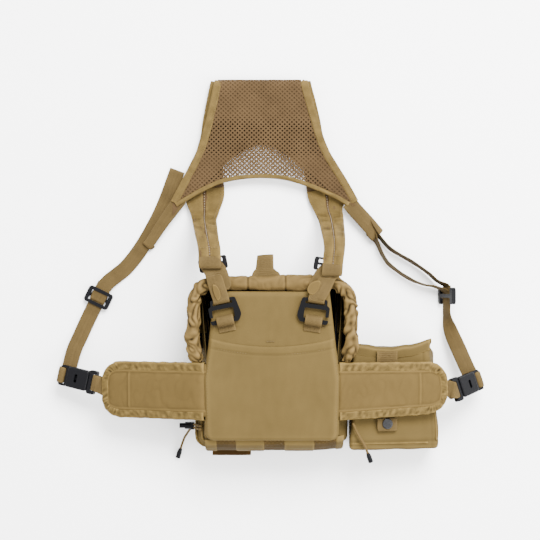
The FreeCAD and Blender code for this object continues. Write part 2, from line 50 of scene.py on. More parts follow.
def at(x, y, z):
    return Vector((x, y, z)) * mm


def mixed(a, b, t):
    return a + (b - a) * t


def smoothStep(low, high, value):
    t = min(max((value - low) / (high - low), 0.0), 1.0)
    return t * t * (3 - 2 * t)


def bump(value, centre, width):
    return math.exp(-((value - centre) / width) ** 2)


def curveAt(table, value):  # smooth reading of (position, size) pairs
    if value <= table[0][0]:
        return table[0][1]
    for (a, low), (b, high) in zip(table, table[1:]):
        if value <= b:
            return mixed(low, high, smoothStep(a, b, value))
    return table[-1][1]


def lineAt(table, value):  # straight reading of the same pairs
    if value <= table[0][0]:
        return table[0][1]
    for (a, low), (b, high) in zip(table, table[1:]):
        if value <= b:
            return mixed(low, high, (value - a) / (b - a))
    return table[-1][1]


def rough(x, y, z, seed=0.0):
    return noise.noise(Vector((x, y, z + seed)))


# ---- camera, light and floor ----
shot = {"height": 2.0, "centre": (-0.0025, 0.116), "lens": 101.8}


def makeStage():
    camera = bpy.data.objects.new("camera", bpy.data.cameras.new("camera"))
    camera.data.lens = shot["lens"]
    camera.location = (shot["centre"][0], shot["centre"][1], shot["height"])
    scene.collection.objects.link(camera)
    scene.camera = camera
    bm = bmesh.new()
    bmesh.ops.create_grid(bm, x_segments=2, y_segments=2, size=3.0)
    floorMesh = bpy.data.meshes.new("floor")
    bm.to_mesh(floorMesh)
    bm.free()
    floor = bpy.data.objects.new("floor", floorMesh)
    scene.collection.objects.link(floor)
    paper = bpy.data.materials.new("palePaper")
    paper.use_nodes = True
    shader = paper.node_tree.nodes["Principled BSDF"]
    shader.inputs["Base Color"].default_value = (0.97, 0.97, 0.97, 1)
    shader.inputs["Roughness"].default_value = 0.9
    floorMesh.materials.append(paper)
    world = bpy.data.worlds.new("studio")
    world.use_nodes = True
    world.node_tree.nodes["Background"].inputs["Color"].default_value = (1, 1, 1, 1)
    world.node_tree.nodes["Background"].inputs["Strength"].default_value = 3.0
    scene.world = world
    lamps = [("keyLight", (0.5, 1.3, 1.9), 1.1, 230.0), ("fillLight", (1.5, -0.5, 1.5), 1.2, 60.0)]
    for name, place, size, power in lamps:
        lamp = bpy.data.objects.new(name, bpy.data.lights.new(name, "AREA"))
        lamp.data.size = size
        lamp.data.energy = power
        lamp.location = place
        aim = Vector((0, 0.1, 0)) - Vector(place)
        lamp.rotation_euler = aim.to_track_quat("-Z", "Y").to_euler()
        scene.collection.objects.link(lamp)


makeStage()
print("stage made")


# ---- materials ----
def newGroup(name, inputs, outputs):
    group = bpy.data.node_groups.new(name, "ShaderNodeTree")
    for label, kind, value in inputs:
        socket = group.interface.new_socket(name=label, in_out="INPUT", socket_type=kind)
        if value is not None:
            socket.default_value = value
    for label, kind in outputs:
        group.interface.new_socket(name=label, in_out="OUTPUT", socket_type=kind)
    return group, group.nodes.new("NodeGroupInput"), group.nodes.new("NodeGroupOutput")


def mathNode(tree, operation, first, second=None, third=None):
    node = tree.nodes.new("ShaderNodeMath")
    node.operation = operation
    for socket, value in zip(node.inputs, (first, second, third)):
        if isinstance(value, (int, float)):
            socket.default_value = value
        elif value is not None:
            tree.links.new(value, socket)
    return node.outputs[0]


def makeWeaveGroup():  # crossed threads, with uneven shading over larger patches
    group, given, out = newGroup(
        "threadWeave",
        [("Vector", "NodeSocketVector", None), ("Across", "NodeSocketFloat", 3000.0),
         ("Along", "NodeSocketFloat", 3000.0), ("Patch", "NodeSocketFloat", 25.0)],
        [("Height", "NodeSocketFloat"), ("Shade", "NodeSocketFloat")])
    split = group.nodes.new("ShaderNodeSeparateXYZ")
    group.links.new(given.outputs["Vector"], split.inputs[0])
    waveX = mathNode(group, "SINE", mathNode(group, "MULTIPLY", split.outputs[0], given.outputs["Across"]))
    waveY = mathNode(group, "SINE", mathNode(group, "MULTIPLY", split.outputs[1], given.outputs["Along"]))
    threads = mathNode(group, "MULTIPLY", waveX, waveY)
    fuzz = group.nodes.new("ShaderNodeTexNoise")
    fuzz.inputs["Scale"].default_value = 900
    fuzz.inputs["Detail"].default_value = 3
    group.links.new(given.outputs["Vector"], fuzz.inputs["Vector"])
    height = mathNode(group, "MULTIPLY_ADD", threads, 0.3, fuzz.outputs[0])
    group.links.new(height, out.inputs["Height"])
    patch = group.nodes.new("ShaderNodeTexNoise")
    patch.inputs["Detail"].default_value = 4
    group.links.new(given.outputs["Vector"], patch.inputs["Vector"])
    group.links.new(given.outputs["Patch"], patch.inputs["Scale"])
    blend = mathNode(group, "MULTIPLY_ADD", height, 0.35, mathNode(group, "MULTIPLY", patch.outputs[0], 0.8))
    group.links.new(blend, out.inputs["Shade"])
    return group


weaveGroup = makeWeaveGroup()


def shadedByFolds(tree, colour, darkest):  # painted shade, darker in hollows and seams, and painted light, lighter on ridges
    paintedFoldShade = tree.nodes.new("ShaderNodeAttribute")
    paintedFoldShade.attribute_name = "foldShade"
    level = tree.nodes.new("ShaderNodeMapRange")
    level.inputs["To Min"].default_value = darkest
    level.inputs["To Max"].default_value = 2 - darkest - 0.38
    tree.links.new(paintedFoldShade.outputs["Fac"], level.inputs["Value"])
    product = tree.nodes.new("ShaderNodeVectorMath")
    product.operation = "MULTIPLY"
    tree.links.new(colour, product.inputs[0])
    tree.links.new(level.outputs[0], product.inputs[1])
    return product.outputs[0]


def makeClothMaterial(name, look):
    material = bpy.data.materials.new(name)
    material.use_nodes = True
    tree = material.node_tree
    shader = tree.nodes["Principled BSDF"]
    shader.inputs["Roughness"].default_value = look["roughness"]
    shader.inputs["Specular IOR Level"].default_value = 0.04
    source = tree.nodes.new("ShaderNodeTexCoord")
    vector = source.outputs["UV" if look.get("followsPiece") else "Object"]
    weave = tree.nodes.new("ShaderNodeGroup")
    weave.node_tree = weaveGroup
    tree.links.new(vector, weave.inputs["Vector"])
    weave.inputs["Across"].default_value = look["across"]
    weave.inputs["Along"].default_value = look["along"]
    weave.inputs["Patch"].default_value = look.get("patch", 25.0)
    ramp = tree.nodes.new("ShaderNodeValToRGB")
    ramp.color_ramp.elements[0].position = 0.25
    ramp.color_ramp.elements[1].position = 0.8
    ramp.color_ramp.elements[0].color = (*[c * look["dark"] for c in look["colour"]], 1)
    ramp.color_ramp.elements[1].color = (*[c * look["light"] for c in look["colour"]], 1)
    tree.links.new(weave.outputs["Shade"], ramp.inputs[0])
    colour = ramp.outputs[0]
    # painted shade in hollows and seams and painted light on ridges, unless the look leaves it out
    if look.get("paintedFoldShade", True):
        colour = shadedByFolds(tree, colour, look.get("foldShadeDarkest", 0.32))
    tree.links.new(colour, shader.inputs["Base Color"])
    relief = tree.nodes.new("ShaderNodeBump")
    relief.inputs["Strength"].default_value = look.get("relief", 0.5)
    relief.inputs["Distance"].default_value = look.get("depth", 0.0004)
    tree.links.new(weave.outputs["Height"], relief.inputs["Height"])
    tree.links.new(relief.outputs[0], shader.inputs["Normal"])
    return material


coyote = (0.0692, 0.0467, 0.0153)
# the fold entries of a look set how dark the painted shade in hollows goes, or leave the painted fold shade out
clothLooks = {
    "packCloth": {"colour": coyote, "across": 3600, "along": 3600, "roughness": 0.8, "dark": 0.88, "light": 1.1},
    "wingCloth": {"colour": (0.0701, 0.0457, 0.0147), "across": 3600, "along": 3600, "roughness": 0.8,
                  "dark": 0.86, "light": 1.1},
    "hemCloth": {"colour": (0.0670, 0.0432, 0.0147), "across": 3000, "along": 3000, "roughness": 0.8,
                 "dark": 0.78, "light": 1.15, "patch": 60, "foldShadeDarkest": 0.15},
    "strapWebbing": {"colour": (0.0623, 0.0413, 0.0153), "across": 1300, "along": 4300, "roughness": 0.75,
                     "dark": 0.55, "light": 1.3, "followsPiece": True, "relief": 1.0, "depth": 0.0006},
    "tackWebbing": {"colour": (0.0369, 0.0228, 0.0071), "across": 1300, "along": 2600, "roughness": 0.8,
                    "dark": 0.55, "light": 1.4, "followsPiece": True, "relief": 1.0, "depth": 0.0008},
    "edgeTape": {"colour": (0.0692, 0.0457, 0.0141), "across": 1800, "along": 3600, "roughness": 0.7,
                 "dark": 0.6, "light": 1.3, "followsPiece": True, "relief": 0.9, "patch": 90, "foldShadeDarkest": 0.15},
    "meshCloth": {"colour": (0.0461, 0.0282, 0.0129), "across": 1500, "along": 1500, "roughness": 0.85,
                  "dark": 0.7, "light": 1.25, "patch": 40, "foldShadeDarkest": 0.6},
    "liningCloth": {"colour": (0.0023, 0.0021, 0.0025), "across": 3600, "along": 3600, "roughness": 0.6,
                    "dark": 0.7, "light": 1.8, "paintedFoldShade": False},
    "tabCloth": {"colour": (0.0277, 0.0137, 0.0030), "across": 1500, "along": 4300, "roughness": 0.8,
                 "dark": 0.8, "light": 1.2, "followsPiece": True},
    "threadTan": {"colour": (0.0877, 0.0608, 0.0264), "across": 6000, "along": 6000, "roughness": 0.6,
                  "dark": 0.8, "light": 1.1, "paintedFoldShade": False},
    "threadPale": {"colour": (0.1661, 0.1361, 0.0999), "across": 6000, "along": 6000, "roughness": 0.6,
                   "dark": 0.8, "light": 1.1, "paintedFoldShade": False},
    "cordCover": {"colour": (0.0623, 0.0399, 0.0141), "across": 5000, "along": 5000, "roughness": 0.7,
                  "dark": 0.7, "light": 1.2, "paintedFoldShade": False},
}
cloth = {name: makeClothMaterial(name, look) for name, look in clothLooks.items()}


def makeHardMaterial(name, look):  # moulded plastic and coated metal
    material = bpy.data.materials.new(name)
    material.use_nodes = True
    tree = material.node_tree
    shader = tree.nodes["Principled BSDF"]
    shader.inputs["Metallic"].default_value = look["metallic"]
    shader.inputs["Specular IOR Level"].default_value = look["shine"]
    source = tree.nodes.new("ShaderNodeTexCoord")
    grain = tree.nodes.new("ShaderNodeTexNoise")
    grain.inputs["Scale"].default_value = look["grain"]
    grain.inputs["Detail"].default_value = 5
    tree.links.new(source.outputs["Object"], grain.inputs["Vector"])
    ramp = tree.nodes.new("ShaderNodeValToRGB")
    ramp.color_ramp.elements[0].color = (*look["dark"], 1)
    ramp.color_ramp.elements[1].color = (*look["light"], 1)
    tree.links.new(grain.outputs[0], ramp.inputs[0])
    tree.links.new(ramp.outputs[0], shader.inputs["Base Color"])
    scuffs = mathNode(tree, "MULTIPLY_ADD", grain.outputs[0], 0.25, look["roughness"])
    tree.links.new(scuffs, shader.inputs["Roughness"])
    relief = tree.nodes.new("ShaderNodeBump")
    relief.inputs["Strength"].default_value = 0.25
    relief.inputs["Distance"].default_value = 0.0002
    tree.links.new(grain.outputs[0], relief.inputs["Height"])
    tree.links.new(relief.outputs[0], shader.inputs["Normal"])
    return material


hardLooks = {
    "blackAcetal": {"metallic": 0.0, "grain": 1400, "dark": (0.001, 0.001, 0.0012), "shine": 0.07,
                    "light": (0.004, 0.004, 0.005), "roughness": 0.2},
    "coatedMetal": {"metallic": 0.0, "grain": 1800, "dark": (0.0012, 0.0012, 0.0014), "shine": 0.03,
                    "light": (0.005, 0.005, 0.0055), "roughness": 0.25},
    "polishedCap": {"metallic": 0.0, "grain": 900, "dark": (0.001, 0.001, 0.0012), "shine": 0.3,
                    "light": (0.003, 0.003, 0.004), "roughness": 0.02},
    "springWire": {"metallic": 1.0, "grain": 900, "dark": (0.35, 0.35, 0.35), "shine": 0.5,
                   "light": (0.6, 0.6, 0.6), "roughness": 0.2},
}
hard = {name: makeHardMaterial(name, look) for name, look in hardLooks.items()}
print("materials made")


# ---- mesh helpers ----
def shadeFolds(bm, gain=2.2):  # how far each point lies below (dark) or above (light) its neighbours, kept for painted shade in hollows and painted light on ridges
    bm.normal_update()
    shade = bm.verts.layers.float.new("foldShade")
    for vert in bm.verts:
        near = [edge.other_vert(vert).co for edge in vert.link_edges]
        if not near:
            vert[shade] = 0.5
            continue
        middle = sum(near, Vector()) / len(near)
        reach = sum((co - vert.co).length for co in near) / len(near)
        vert[shade] = 0.5 - gain * (middle - vert.co).dot(vert.normal) / max(reach, 1e-6)
    for _ in range(2):
        softened = {v: sum(e.other_vert(v)[shade] for e in v.link_edges) / max(len(v.link_edges), 1)
                    for v in bm.verts}
        for vert, value in softened.items():
            vert[shade] = 0.5 * vert[shade] + 0.5 * value


def finishPiece(bm, name, material, body, replaced=(), closed=True, gain=2.2):
    if closed:
        bmesh.ops.recalc_face_normals(bm, faces=bm.faces)
    # every piece gets its painted fold shade measure here
    shadeFolds(bm, gain)
    mesh = bpy.data.meshes.new(name)
    bm.to_mesh(mesh)
    bm.free()
    mesh.materials.append(material)
    for face in mesh.polygons:
        face.use_smooth = True
    piece = bpy.data.objects.new(name, mesh)
    scene.collection.objects.link(piece)
    if body:
        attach(piece, body)
    if replaced:
        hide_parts(*replaced)
    return piece


def joinBm(bm, other):
    spare = bpy.data.meshes.new("spare")
    other.to_mesh(spare)
    other.free()
    bm.from_mesh(spare)
    bpy.data.meshes.remove(spare)
    return bm


def evaluatedBm(holder):
    bm = bmesh.new()
    bm.from_mesh(holder.evaluated_get(bpy.context.evaluated_depsgraph_get()).data)
    return bm


def inflateBm(bm, voxel, cap, pressure=4.0):
    # let the pad swell as sewn cloth does, then keep each point within the cap
    mesh = bpy.data.meshes.new("swelling")
    bm.to_mesh(mesh)
    holder = bpy.data.objects.new("swelling", mesh)
    scene.collection.objects.link(holder)
    remesh = holder.modifiers.new("remesh", "REMESH")
    remesh.mode = "VOXEL"
    remesh.voxel_size = voxel * mm
    rest = evaluatedBm(holder)
    holder.modifiers.remove(remesh)
    rest.to_mesh(mesh)
    before = [v.co.copy() for v in rest.verts]
    rest.free()
    sim = holder.modifiers.new("cloth", "CLOTH")
    sim.settings.quality = 4
    sim.settings.mass = 0.2
    sim.settings.use_pressure = True
    sim.settings.uniform_pressure_force = pressure
    sim.settings.effector_weights.gravity = 0.0
    sim.collision_settings.use_collision = False
    sim.collision_settings.use_self_collision = False
    for frameNumber in range(1, 21):
        scene.frame_set(frameNumber)
    swollen = evaluatedBm(holder)
    holder.modifiers.remove(sim)
    for vert, start in zip(swollen.verts, before):
        move = vert.co - start
        if move.length > cap * mm:
            vert.co = start + move.normalized() * cap * mm
    swollen.to_mesh(mesh)
    swollen.free()
    finer = holder.modifiers.new("finer", "SUBSURF")
    finer.levels = 2
    finer.render_levels = 2
    result = evaluatedBm(holder)
    bpy.data.objects.remove(holder)
    bpy.data.meshes.remove(mesh)
    scene.frame_set(1)
    bm.free()
    return result


def gridBm(across, along, place, uvSize=(1.0, 1.0)):
    bm = bmesh.new()
    bmesh.ops.create_grid(bm, x_segments=across, y_segments=along, size=0.5)
    weave = bm.loops.layers.uv.new("weave")
    flat = {v.index: (v.co.x + 0.5, v.co.y + 0.5) for v in bm.verts}
    for face in bm.faces:
        for loop in face.loops:
            u, v = flat[loop.vert.index]
            loop[weave].uv = (u * uvSize[0], v * uvSize[1])
    for vert in bm.verts:
        vert.co = place(*flat[vert.index])
    return bm


def pillowBm(across, along, face, uvSize=(1.0, 1.0)):  # face(u, v, side) for the upper and lower skins
    bm = gridBm(across, along, lambda u, v: face(u, v, 1), uvSize)
    joinBm(bm, gridBm(across, along, lambda u, v: face(u, v, -1), uvSize))
    bmesh.ops.remove_doubles(bm, verts=bm.verts, dist=2e-5)
    return bm


def smoothLine(points, count):  # even spacing along a Catmull-Rom curve
    points = [Vector(p) for p in points]
    padded = [points[0] * 2 - points[1]] + points + [points[-1] * 2 - points[-2]]
    dense = []
    for a, b, c, d in zip(padded, padded[1:], padded[2:], padded[3:]):
        for i in range(12):
            t = i / 12
            dense.append(0.5 * (2 * b + (c - a) * t + (2 * a - 5 * b + 4 * c - d) * t ** 2
                                + (3 * b - a - 3 * c + d) * t ** 3))
    dense.append(points[-1])
    return dense


def measured(line):
    marks = [0.0]
    for a, b in zip(line, line[1:]):
        marks.append(marks[-1] + (b - a).length)
    return marks


def sampleLine(line, marks, distance):
    distance = min(max(distance, 0.0), marks[-1])
    low, high = 0, len(marks) - 1
    while high - low > 1:
        middle = (low + high) // 2
        if marks[middle] <= distance:
            low = middle
        else:
            high = middle
    span = marks[high] - marks[low]
    return mixed(line[low], line[high], (distance - marks[low]) / span if span else 0.0)


def tapeBm(stations, width, thickness, step=3.0, around=14, waver=0.0, seed=0.0, ribs=0.0):
    # stations: (point, direction across, width factor); a closed flat section swept along them
    line = smoothLine([s[0] for s in stations], 0)
    sides = smoothLine([s[1] for s in stations], 0)
    widths = smoothLine([Vector((s[2] if len(s) > 2 else 1.0, 0, 0)) for s in stations], 0)
    marks = measured(line)
    length = marks[-1]
    rows = max(4, int(length / (step * mm)))
    fractions = [i / (len(line) - 1) for i in range(len(line))]

    def place(u, v):
        distance = v * length
        centre = sampleLine(line, marks, distance)
        ahead = sampleLine(line, marks, distance + 0.0015) - sampleLine(line, marks, distance - 0.0015)
        ahead.normalize()
        across = sampleLine(sides, marks, distance)
        across = (across - ahead * across.dot(ahead)).normalized()
        normal = across.cross(ahead)
        half = width * 0.5 * mm * sampleLine(widths, marks, distance).x
        angle = 2 * math.pi * u
        c, s = math.cos(angle), math.sin(angle)
        x = math.copysign(abs(c) ** 0.55, c)
        z = math.copysign(abs(s) ** 0.8, s) * thickness * 0.5 * mm
        lift = waver * mm * rough(distance * 60, x * 0.7, 0, seed) 
        lift += ribs * mm * math.sin(distance / mm * 2.6) * (1 - x * x)
        return centre + across * (x * half) + normal * (z + lift)

    bm = gridBm(around, rows, place, (width * 2 * mm, length))
    weave = bm.loops.layers.uv.verify()
    for face in bm.faces:
        for loop in face.loops:
            u, v = loop[weave].uv
            loop[weave].uv = (0.5 * width * mm * math.cos(math.pi * u / (width * mm)), v)
    bmesh.ops.remove_doubles(bm, verts=bm.verts, dist=1e-6)
    rims = [e for e in bm.edges if e.is_boundary]
    bmesh.ops.holes_fill(bm, edges=rims, sides=0)
    return bm


def tape(name, stations, width, thickness, body, replaced=(), material="strapWebbing",
         slot="coyote_webbing", **more):
    bm = tapeBm(stations, width, thickness, **more)
    return finishPiece(bm, name, cloth[material], body, replaced)


def pipeBm(points, radius, around=10, step=2.0, swell=None):
    line = smoothLine(points, 0)
    marks = measured(line)
    length = marks[-1]
    rows = max(4, int(length / (step * mm)))

    def place(u, v):
        distance = v * length
        centre = sampleLine(line, marks, distance)
        ahead = sampleLine(line, marks, distance + 0.001) - sampleLine(line, marks, distance - 0.001)
        ahead.normalize()
        up = Vector((0, 0, 1)) if abs(ahead.z) < 0.9 else Vector((0, 1, 0))
        side = ahead.cross(up).normalized()
        top = side.cross(ahead)
        angle = 2 * math.pi * u
        size = radius * mm
        if swell:
            size = swell(distance / mm, angle, centre) * mm
        return centre + (side * math.cos(angle) + top * math.sin(angle)) * size

    bm = gridBm(around, rows, place, (2 * math.pi * radius * mm, length))
    bmesh.ops.remove_doubles(bm, verts=bm.verts, dist=1e-6)
    rims = [e for e in bm.edges if e.is_boundary]
    bmesh.ops.holes_fill(bm, edges=rims, sides=0)
    return bm


def stitchRows(name, lines, body, pitch=3.4, long=2.3, thick=0.45):
    # short raised threads along each line; a line is a list of points on the surface
    bm = bmesh.new()
    for points in lines:
        line = smoothLine(points, 0)
        marks = measured(line)
        count = int(marks[-1] / (pitch * mm))
        for i in range(count):
            middle = (i + 0.5) * pitch * mm
            ahead = (sampleLine(line, marks, middle + 0.001) - sampleLine(line, marks, middle - 0.001))
            turn = ahead.to_track_quat("X", "Z").to_matrix().to_4x4()
            size = Matrix.Diagonal((long * 0.5 * mm, thick * mm, thick * 0.7 * mm, 1))
            place = Matrix.Translation(sampleLine(line, marks, middle)) @ turn @ size
            bmesh.ops.create_icosphere(bm, subdivisions=1, radius=1.0, matrix=place)
    return finishPiece(bm, name, cloth["threadTan"], body)


def transformed(bm, matrix):
    bmesh.ops.transform(bm, matrix=matrix, verts=bm.verts)
    return bm


def wingMatrix(side):
    droop = math.radians(wingFacts[side]["droop"])
    place = Matrix.Translation(at(87.5, 0, 92.5)) @ Matrix.Rotation(droop, 4, "Y")
    if side == "left":
        place = Matrix.Diagonal((-1, 1, 1, 1)) @ place
    return place


# ---- back panel and slip pocket ----
panelFacts = {"halfWidths": [(-97, 83), (-20, 85.5), (20, 80), (70, 74.5), (89.5, 72)],
              "low": -97, "high": 89.5, "middle": 93.0, "half": 5.4, "corner": 10}


def panelHalf(y):
    half = lineAt(panelFacts["halfWidths"], y)
    inset = panelFacts["corner"] - (y - panelFacts["low"])
    if inset > 0:
        half -= panelFacts["corner"] - math.sqrt(max(panelFacts["corner"] ** 2 - inset ** 2, 0))
    return half


def pocketHem(x):  # the slip pocket's upper edge dips in the middle
    return 350 - math.sqrt(330 ** 2 - x * x)


def panelTop(x, y, edge):  # height of the panel's skin over its mid plane
    round_ = math.sqrt(max(1 - (1 - min(edge / 6.5, 1)) ** 2, 0))
    height = panelFacts["half"] * round_
    height -= 0.9 * bump(y, 43 + 5 * (x / 75) ** 2, 1.0) * min(edge / 8, 1) * smoothStep(34, 44, abs(x))
    height += 0.45 * rough(x / 26, y / 40, 0, 3) * min(edge / 10, 1)
    height += 0.25 * rough(x / 9, y / 16, 0, 8) * min(edge / 10, 1)
    return height


def makeBackPanel():
    def skin(u, v, side):
        y = mixed(panelFacts["low"], panelFacts["high"], 0.5 - 0.5 * math.cos(math.pi * v) * 0.35 - (0.5 - v) * 0.65)
        half = panelHalf(y)
        c = math.sin(math.pi * (u - 0.5))
        x = half * mixed(2 * u - 1, c, 0.45)
        edge = min(half - abs(x), y - panelFacts["low"], panelFacts["high"] - y)
        edge = max(edge, 0)
        z = panelFacts["middle"] + side * (panelTop(x, y, edge) if side > 0 else
                                           5.0 * math.sqrt(max(1 - (1 - min(edge / 4, 1)) ** 2, 0)))
        return at(x, y, z)

    bm = pillowBm(86, 92, skin)
    panel = finishPiece(bm, "backPanel", cloth["packCloth"], "pack",
                        ["back_panel", "back_panel_foam"])

    def pocket(u, v, side):
        c = 2 * u - 1
        low = -95.5
        x0 = c * 83.5
        y = mixed(low, pocketHem(x0) + 0.5, v)
        x = c * (panelHalf(y) - 1.2)
        edge = max(min(panelHalf(y) - 1.2 - abs(x), y - low), 0)
        hem = pocketHem(x) - y
        lift = 0.2 + 1.3 * min(edge / 3, 1)
        lift += 0.9 * bump(hem, 4.5, 5.5) * min(edge / 12, 1)
        lift += 0.5 * rough(x / 30, y / 24, 0, 5) * min(edge / 14, 1)
        lift -= 0.9 * bump(hem, 9.5, 0.9)
        lift *= min(max(hem + 1.3, 0) / 1.3, 1) ** 0.5 if hem < 0 else 1
        base = panelFacts["middle"] + panelTop(x, y, panelHalf(y) - abs(x))
        return at(x, y, base + (lift if side > 0 else -0.6))

    bm = pillowBm(80, 76, pocket)
    finishPiece(bm, "slipPocket", cloth["packCloth"], "pack", ["slip_pocket"])

    def onPanel(x, y, lift):
        base = panelFacts["middle"] + panelTop(x, y, panelHalf(y) - abs(x))
        return at(x, y, base + lift)

    hemLine = [onPanel(x, pocketHem(x) - 9.5, 1.2) for x in range(-78, 79, 12)]
    sideLines = [[onPanel(s * (panelHalf(y) - 4), y, 1.2) for y in range(-86, 24, 14)] for s in (-1, 1)]
    lowLine = [onPanel(x, -91, 1.1) for x in range(-72, 73, 12)]
    stitchRows("panelStitches", [hemLine, lowLine] + sideLines, "pack")
    tacks = []
    for x, y in ((-2, pocketHem(0) + 7), (-2, pocketHem(0) - 6)):
        for row in (-0.5, 0.5):
            tacks.append([onPanel(x - 5, y + row, 1.0), onPanel(x, y + row, 1.0), onPanel(x + 5, y + row, 1.0)])
    for x0, x1, y in ((-56, -44, 45), (-74, -64, 45), (40, 50, 45), (58, 68, 45)):
        tacks.append([onPanel(x0, y, 0.3), onPanel((x0 + x1) / 2, y - 0.6, 0.3), onPanel(x1, y, 0.3)])
    stitchRows("panelTacks", tacks, "pack", pitch=1.1, long=1.6, thick=0.4)


makeBackPanel()
print("back panel made")


# ---- case walls, lining, front panel and pocket ----
caseFacts = {"half": 94.0, "low": -105.5, "high": 99.0, "corner": 13.0, "stepIn": 7.4}


def steppedIn(y):  # the walls stand in beside the lid
    return caseFacts["stepIn"] * smoothStep(-24, -9, y)


def cornerLift(x):  # the lower right corner is drawn up
    return 6.0 * smoothStep(48, 96, x) ** 1.5


def uPath(half, low, high, corner, u):  # down one side, along the bottom and up the other side
    side = high - low - corner
    arc = math.pi / 2 * corner
    across = 2 * (half - corner)
    total = 2 * side + 2 * arc + across
    d = u * total
    if d < side:
        return half, high - d, 1.0, 0.0
    d -= side
    if d < arc:
        a = d / corner
        return half - corner + corner * math.cos(a), low + corner - corner * math.sin(a), math.cos(a), -math.sin(a)
    d -= arc
    if d < across:
        return half - corner - d, low, 0.0, -1.0
    d -= across
    if d < arc:
        a = d / corner
        return -half + corner - corner * math.sin(a), low + corner - corner * math.cos(a), -math.sin(a), -math.cos(a)
    d -= arc
    return -half, low + corner + d, -1.0, 0.0


def makeCase():
    def wall(u, v, side):
        x, y, nx, ny = uPath(caseFacts["half"], caseFacts["low"], caseFacts["high"], caseFacts["corner"], u)
        top = lineAt([(-10, 86.5), (caseFacts["high"], 56)], y)
        z = mixed(23.0, top, v)
        lean = -mixed(12.5, 5.0, smoothStep(-24, -9, y)) * smoothStep(60, 87, z)
        lean += (2.0 + 2.2 * abs(ny)) * math.sin(math.pi * min((z - 22) / 62, 1))
        lean += 1.2 * rough(x / 22, y / 22, z / 16, 2) * math.sin(math.pi * v) - steppedIn(y)
        y += cornerLift(x) * abs(min(ny, 0)) * smoothStep(30, 60, z)
        inner = 0 if side > 0 else 1.8 * math.sin(math.pi * v) ** 0.3 * math.sin(math.pi * u) ** 0.1
        return at(x + nx * (lean - inner), y + ny * (lean - inner), z)

    bm = pillowBm(120, 26, wall)
    finishPiece(bm, "caseWall", cloth["packCloth"], "pack", ["side_gussets", "bottom_gusset"])

    def liner(u, v):
        x, y, nx, ny = uPath(90.2, -100.0, 98.0, 10, u)
        z = mixed(26.4, lineAt([(-10, 86), (98, 60)], y), v)
        lean = -mixed(11.0, 5.0, smoothStep(-24, -9, y)) * smoothStep(60, 87, z) - steppedIn(y)
        lean += 0.7 * rough(x / 15, y / 15, z / 12, 6)
        return at(x + nx * lean, y + ny * lean, z)

    bm = gridBm(100, 20, liner)
    bmesh.ops.solidify(bm, geom=bm.faces[:], thickness=0.0006)
    finishPiece(bm, "caseLining", cloth["liningCloth"], "pack", ["case_lining"])

    def liningFloor(u, v, side):
        y = mixed(-99, 98.5, v)
        x = (2 * u - 1) * (89 - steppedIn(y))
        return at(x, y, 26.6 + 0.5 * rough(x / 20, y / 20, 0, 4) + side * 0.3 * (math.sin(math.pi * u) > 0.01) * (math.sin(math.pi * v) > 0.01))

    finishPiece(pillowBm(30, 30, liningFloor), "liningFloor", cloth["liningCloth"], "pack")

    def front(u, v, side):
        c, s = 2 * u - 1, 2 * v - 1
        y = mixed(-104, 99.5, 0.5 + 0.5 * math.copysign(abs(s) ** 0.9, s))
        half = 91.5 - steppedIn(y)
        x = half * math.copysign(abs(c) ** 0.9, c)
        edge = max(min(half - abs(x), y + 104, 99.5 - y), 0)
        half = 2.0 * math.sqrt(max(1 - (1 - min(edge / 2.5, 1)) ** 2, 0))
        return at(x, y, 24.0 + side * half + (0.4 * rough(x / 20, y / 20, 0, 7) if edge > 3 and side < 0 else 0))

    finishPiece(pillowBm(60, 60, front), "frontPanel", cloth["packCloth"], "pack",
                ["case_front_panel"])


makeCase()


def softBoxBm(low, high, rounding, cuts, relief, seed=0.0, openTop=False):
    bm = bmesh.new()
    bmesh.ops.create_cube(bm, size=2.0)
    bmesh.ops.subdivide_edges(bm, edges=bm.edges[:], cuts=cuts, use_grid_fill=True)
    if openTop:
        gone = [f for f in bm.faces if f.calc_center_median().y > 0.999]
        bmesh.ops.delete(bm, geom=gone, context="FACES")
    size = (Vector(high) - Vector(low)) * 0.5
    middle = (Vector(high) + Vector(low)) * 0.5
    for vert in bm.verts:
        p = Vector((vert.co.x * size.x, vert.co.y * size.y, vert.co.z * size.z))
        core = Vector([max(min(p[i], size[i] - rounding), -(size[i] - rounding)) for i in range(3)])
        out = p - core
        if out.length > 1e-6:
            p = core + out.normalized() * rounding
            away = out.normalized()
        else:
            away = Vector((0, 0, 0))
        world = middle + p
        faceOut = Vector([math.copysign(1, vert.co[i]) if abs(vert.co[i]) > 0.999 else 0 for i in range(3)])
        if faceOut.length:
            faceOut.normalize()
        swell = relief * rough(world.x / 24, world.y / 24, world.z / 24, seed)
        vert.co = (world + faceOut * swell) * mm
    return bm


def makeFrontPocket():
    bm = softBoxBm((-80, -95, 0.6), (80, 14, 22.4), 7.0, 26, 0.0, 1)
    pocket = finishPiece(bm, "frontPocket", cloth["packCloth"], "pack", ["front_pocket"])
    pieces = []
    for low, high in ((3.6, 9.0), (12.0, 17.4)):
        stations = [(at(x, 14.7, (low + high) / 2), Vector((0, 0, 1))) for x in (-70, -35, 0, 35, 70)]
        pieces.append(tape(f"zipTape{int(low)}", stations, high - low, 1.0, "pack",
                           ["zipper_tape"] if low < 5 else (), "liningCloth", "black_lining", step=5))
    teeth = bmesh.new()
    for i in range(88):
        x = -65 + i * 1.5
        lift = 0.35 if i % 2 else -0.35
        place = Matrix.Translation(at(x, 15.1, 10.5 + lift)) @ Matrix.Diagonal((0.5 * mm, 0.7 * mm, 1.1 * mm, 1))
        bmesh.ops.create_icosphere(teeth, subdivisions=1, radius=1.0, matrix=place)
    finishPiece(teeth, "zipTeeth", hard["blackAcetal"], "pack")


makeFrontPocket()
print("case made")


# ---- lid ----
rimFacts = {"half": 97.5, "y": 99.6, "end": 4.5, "z": 91.0, "corner": 24.0, "radius": 8.8}


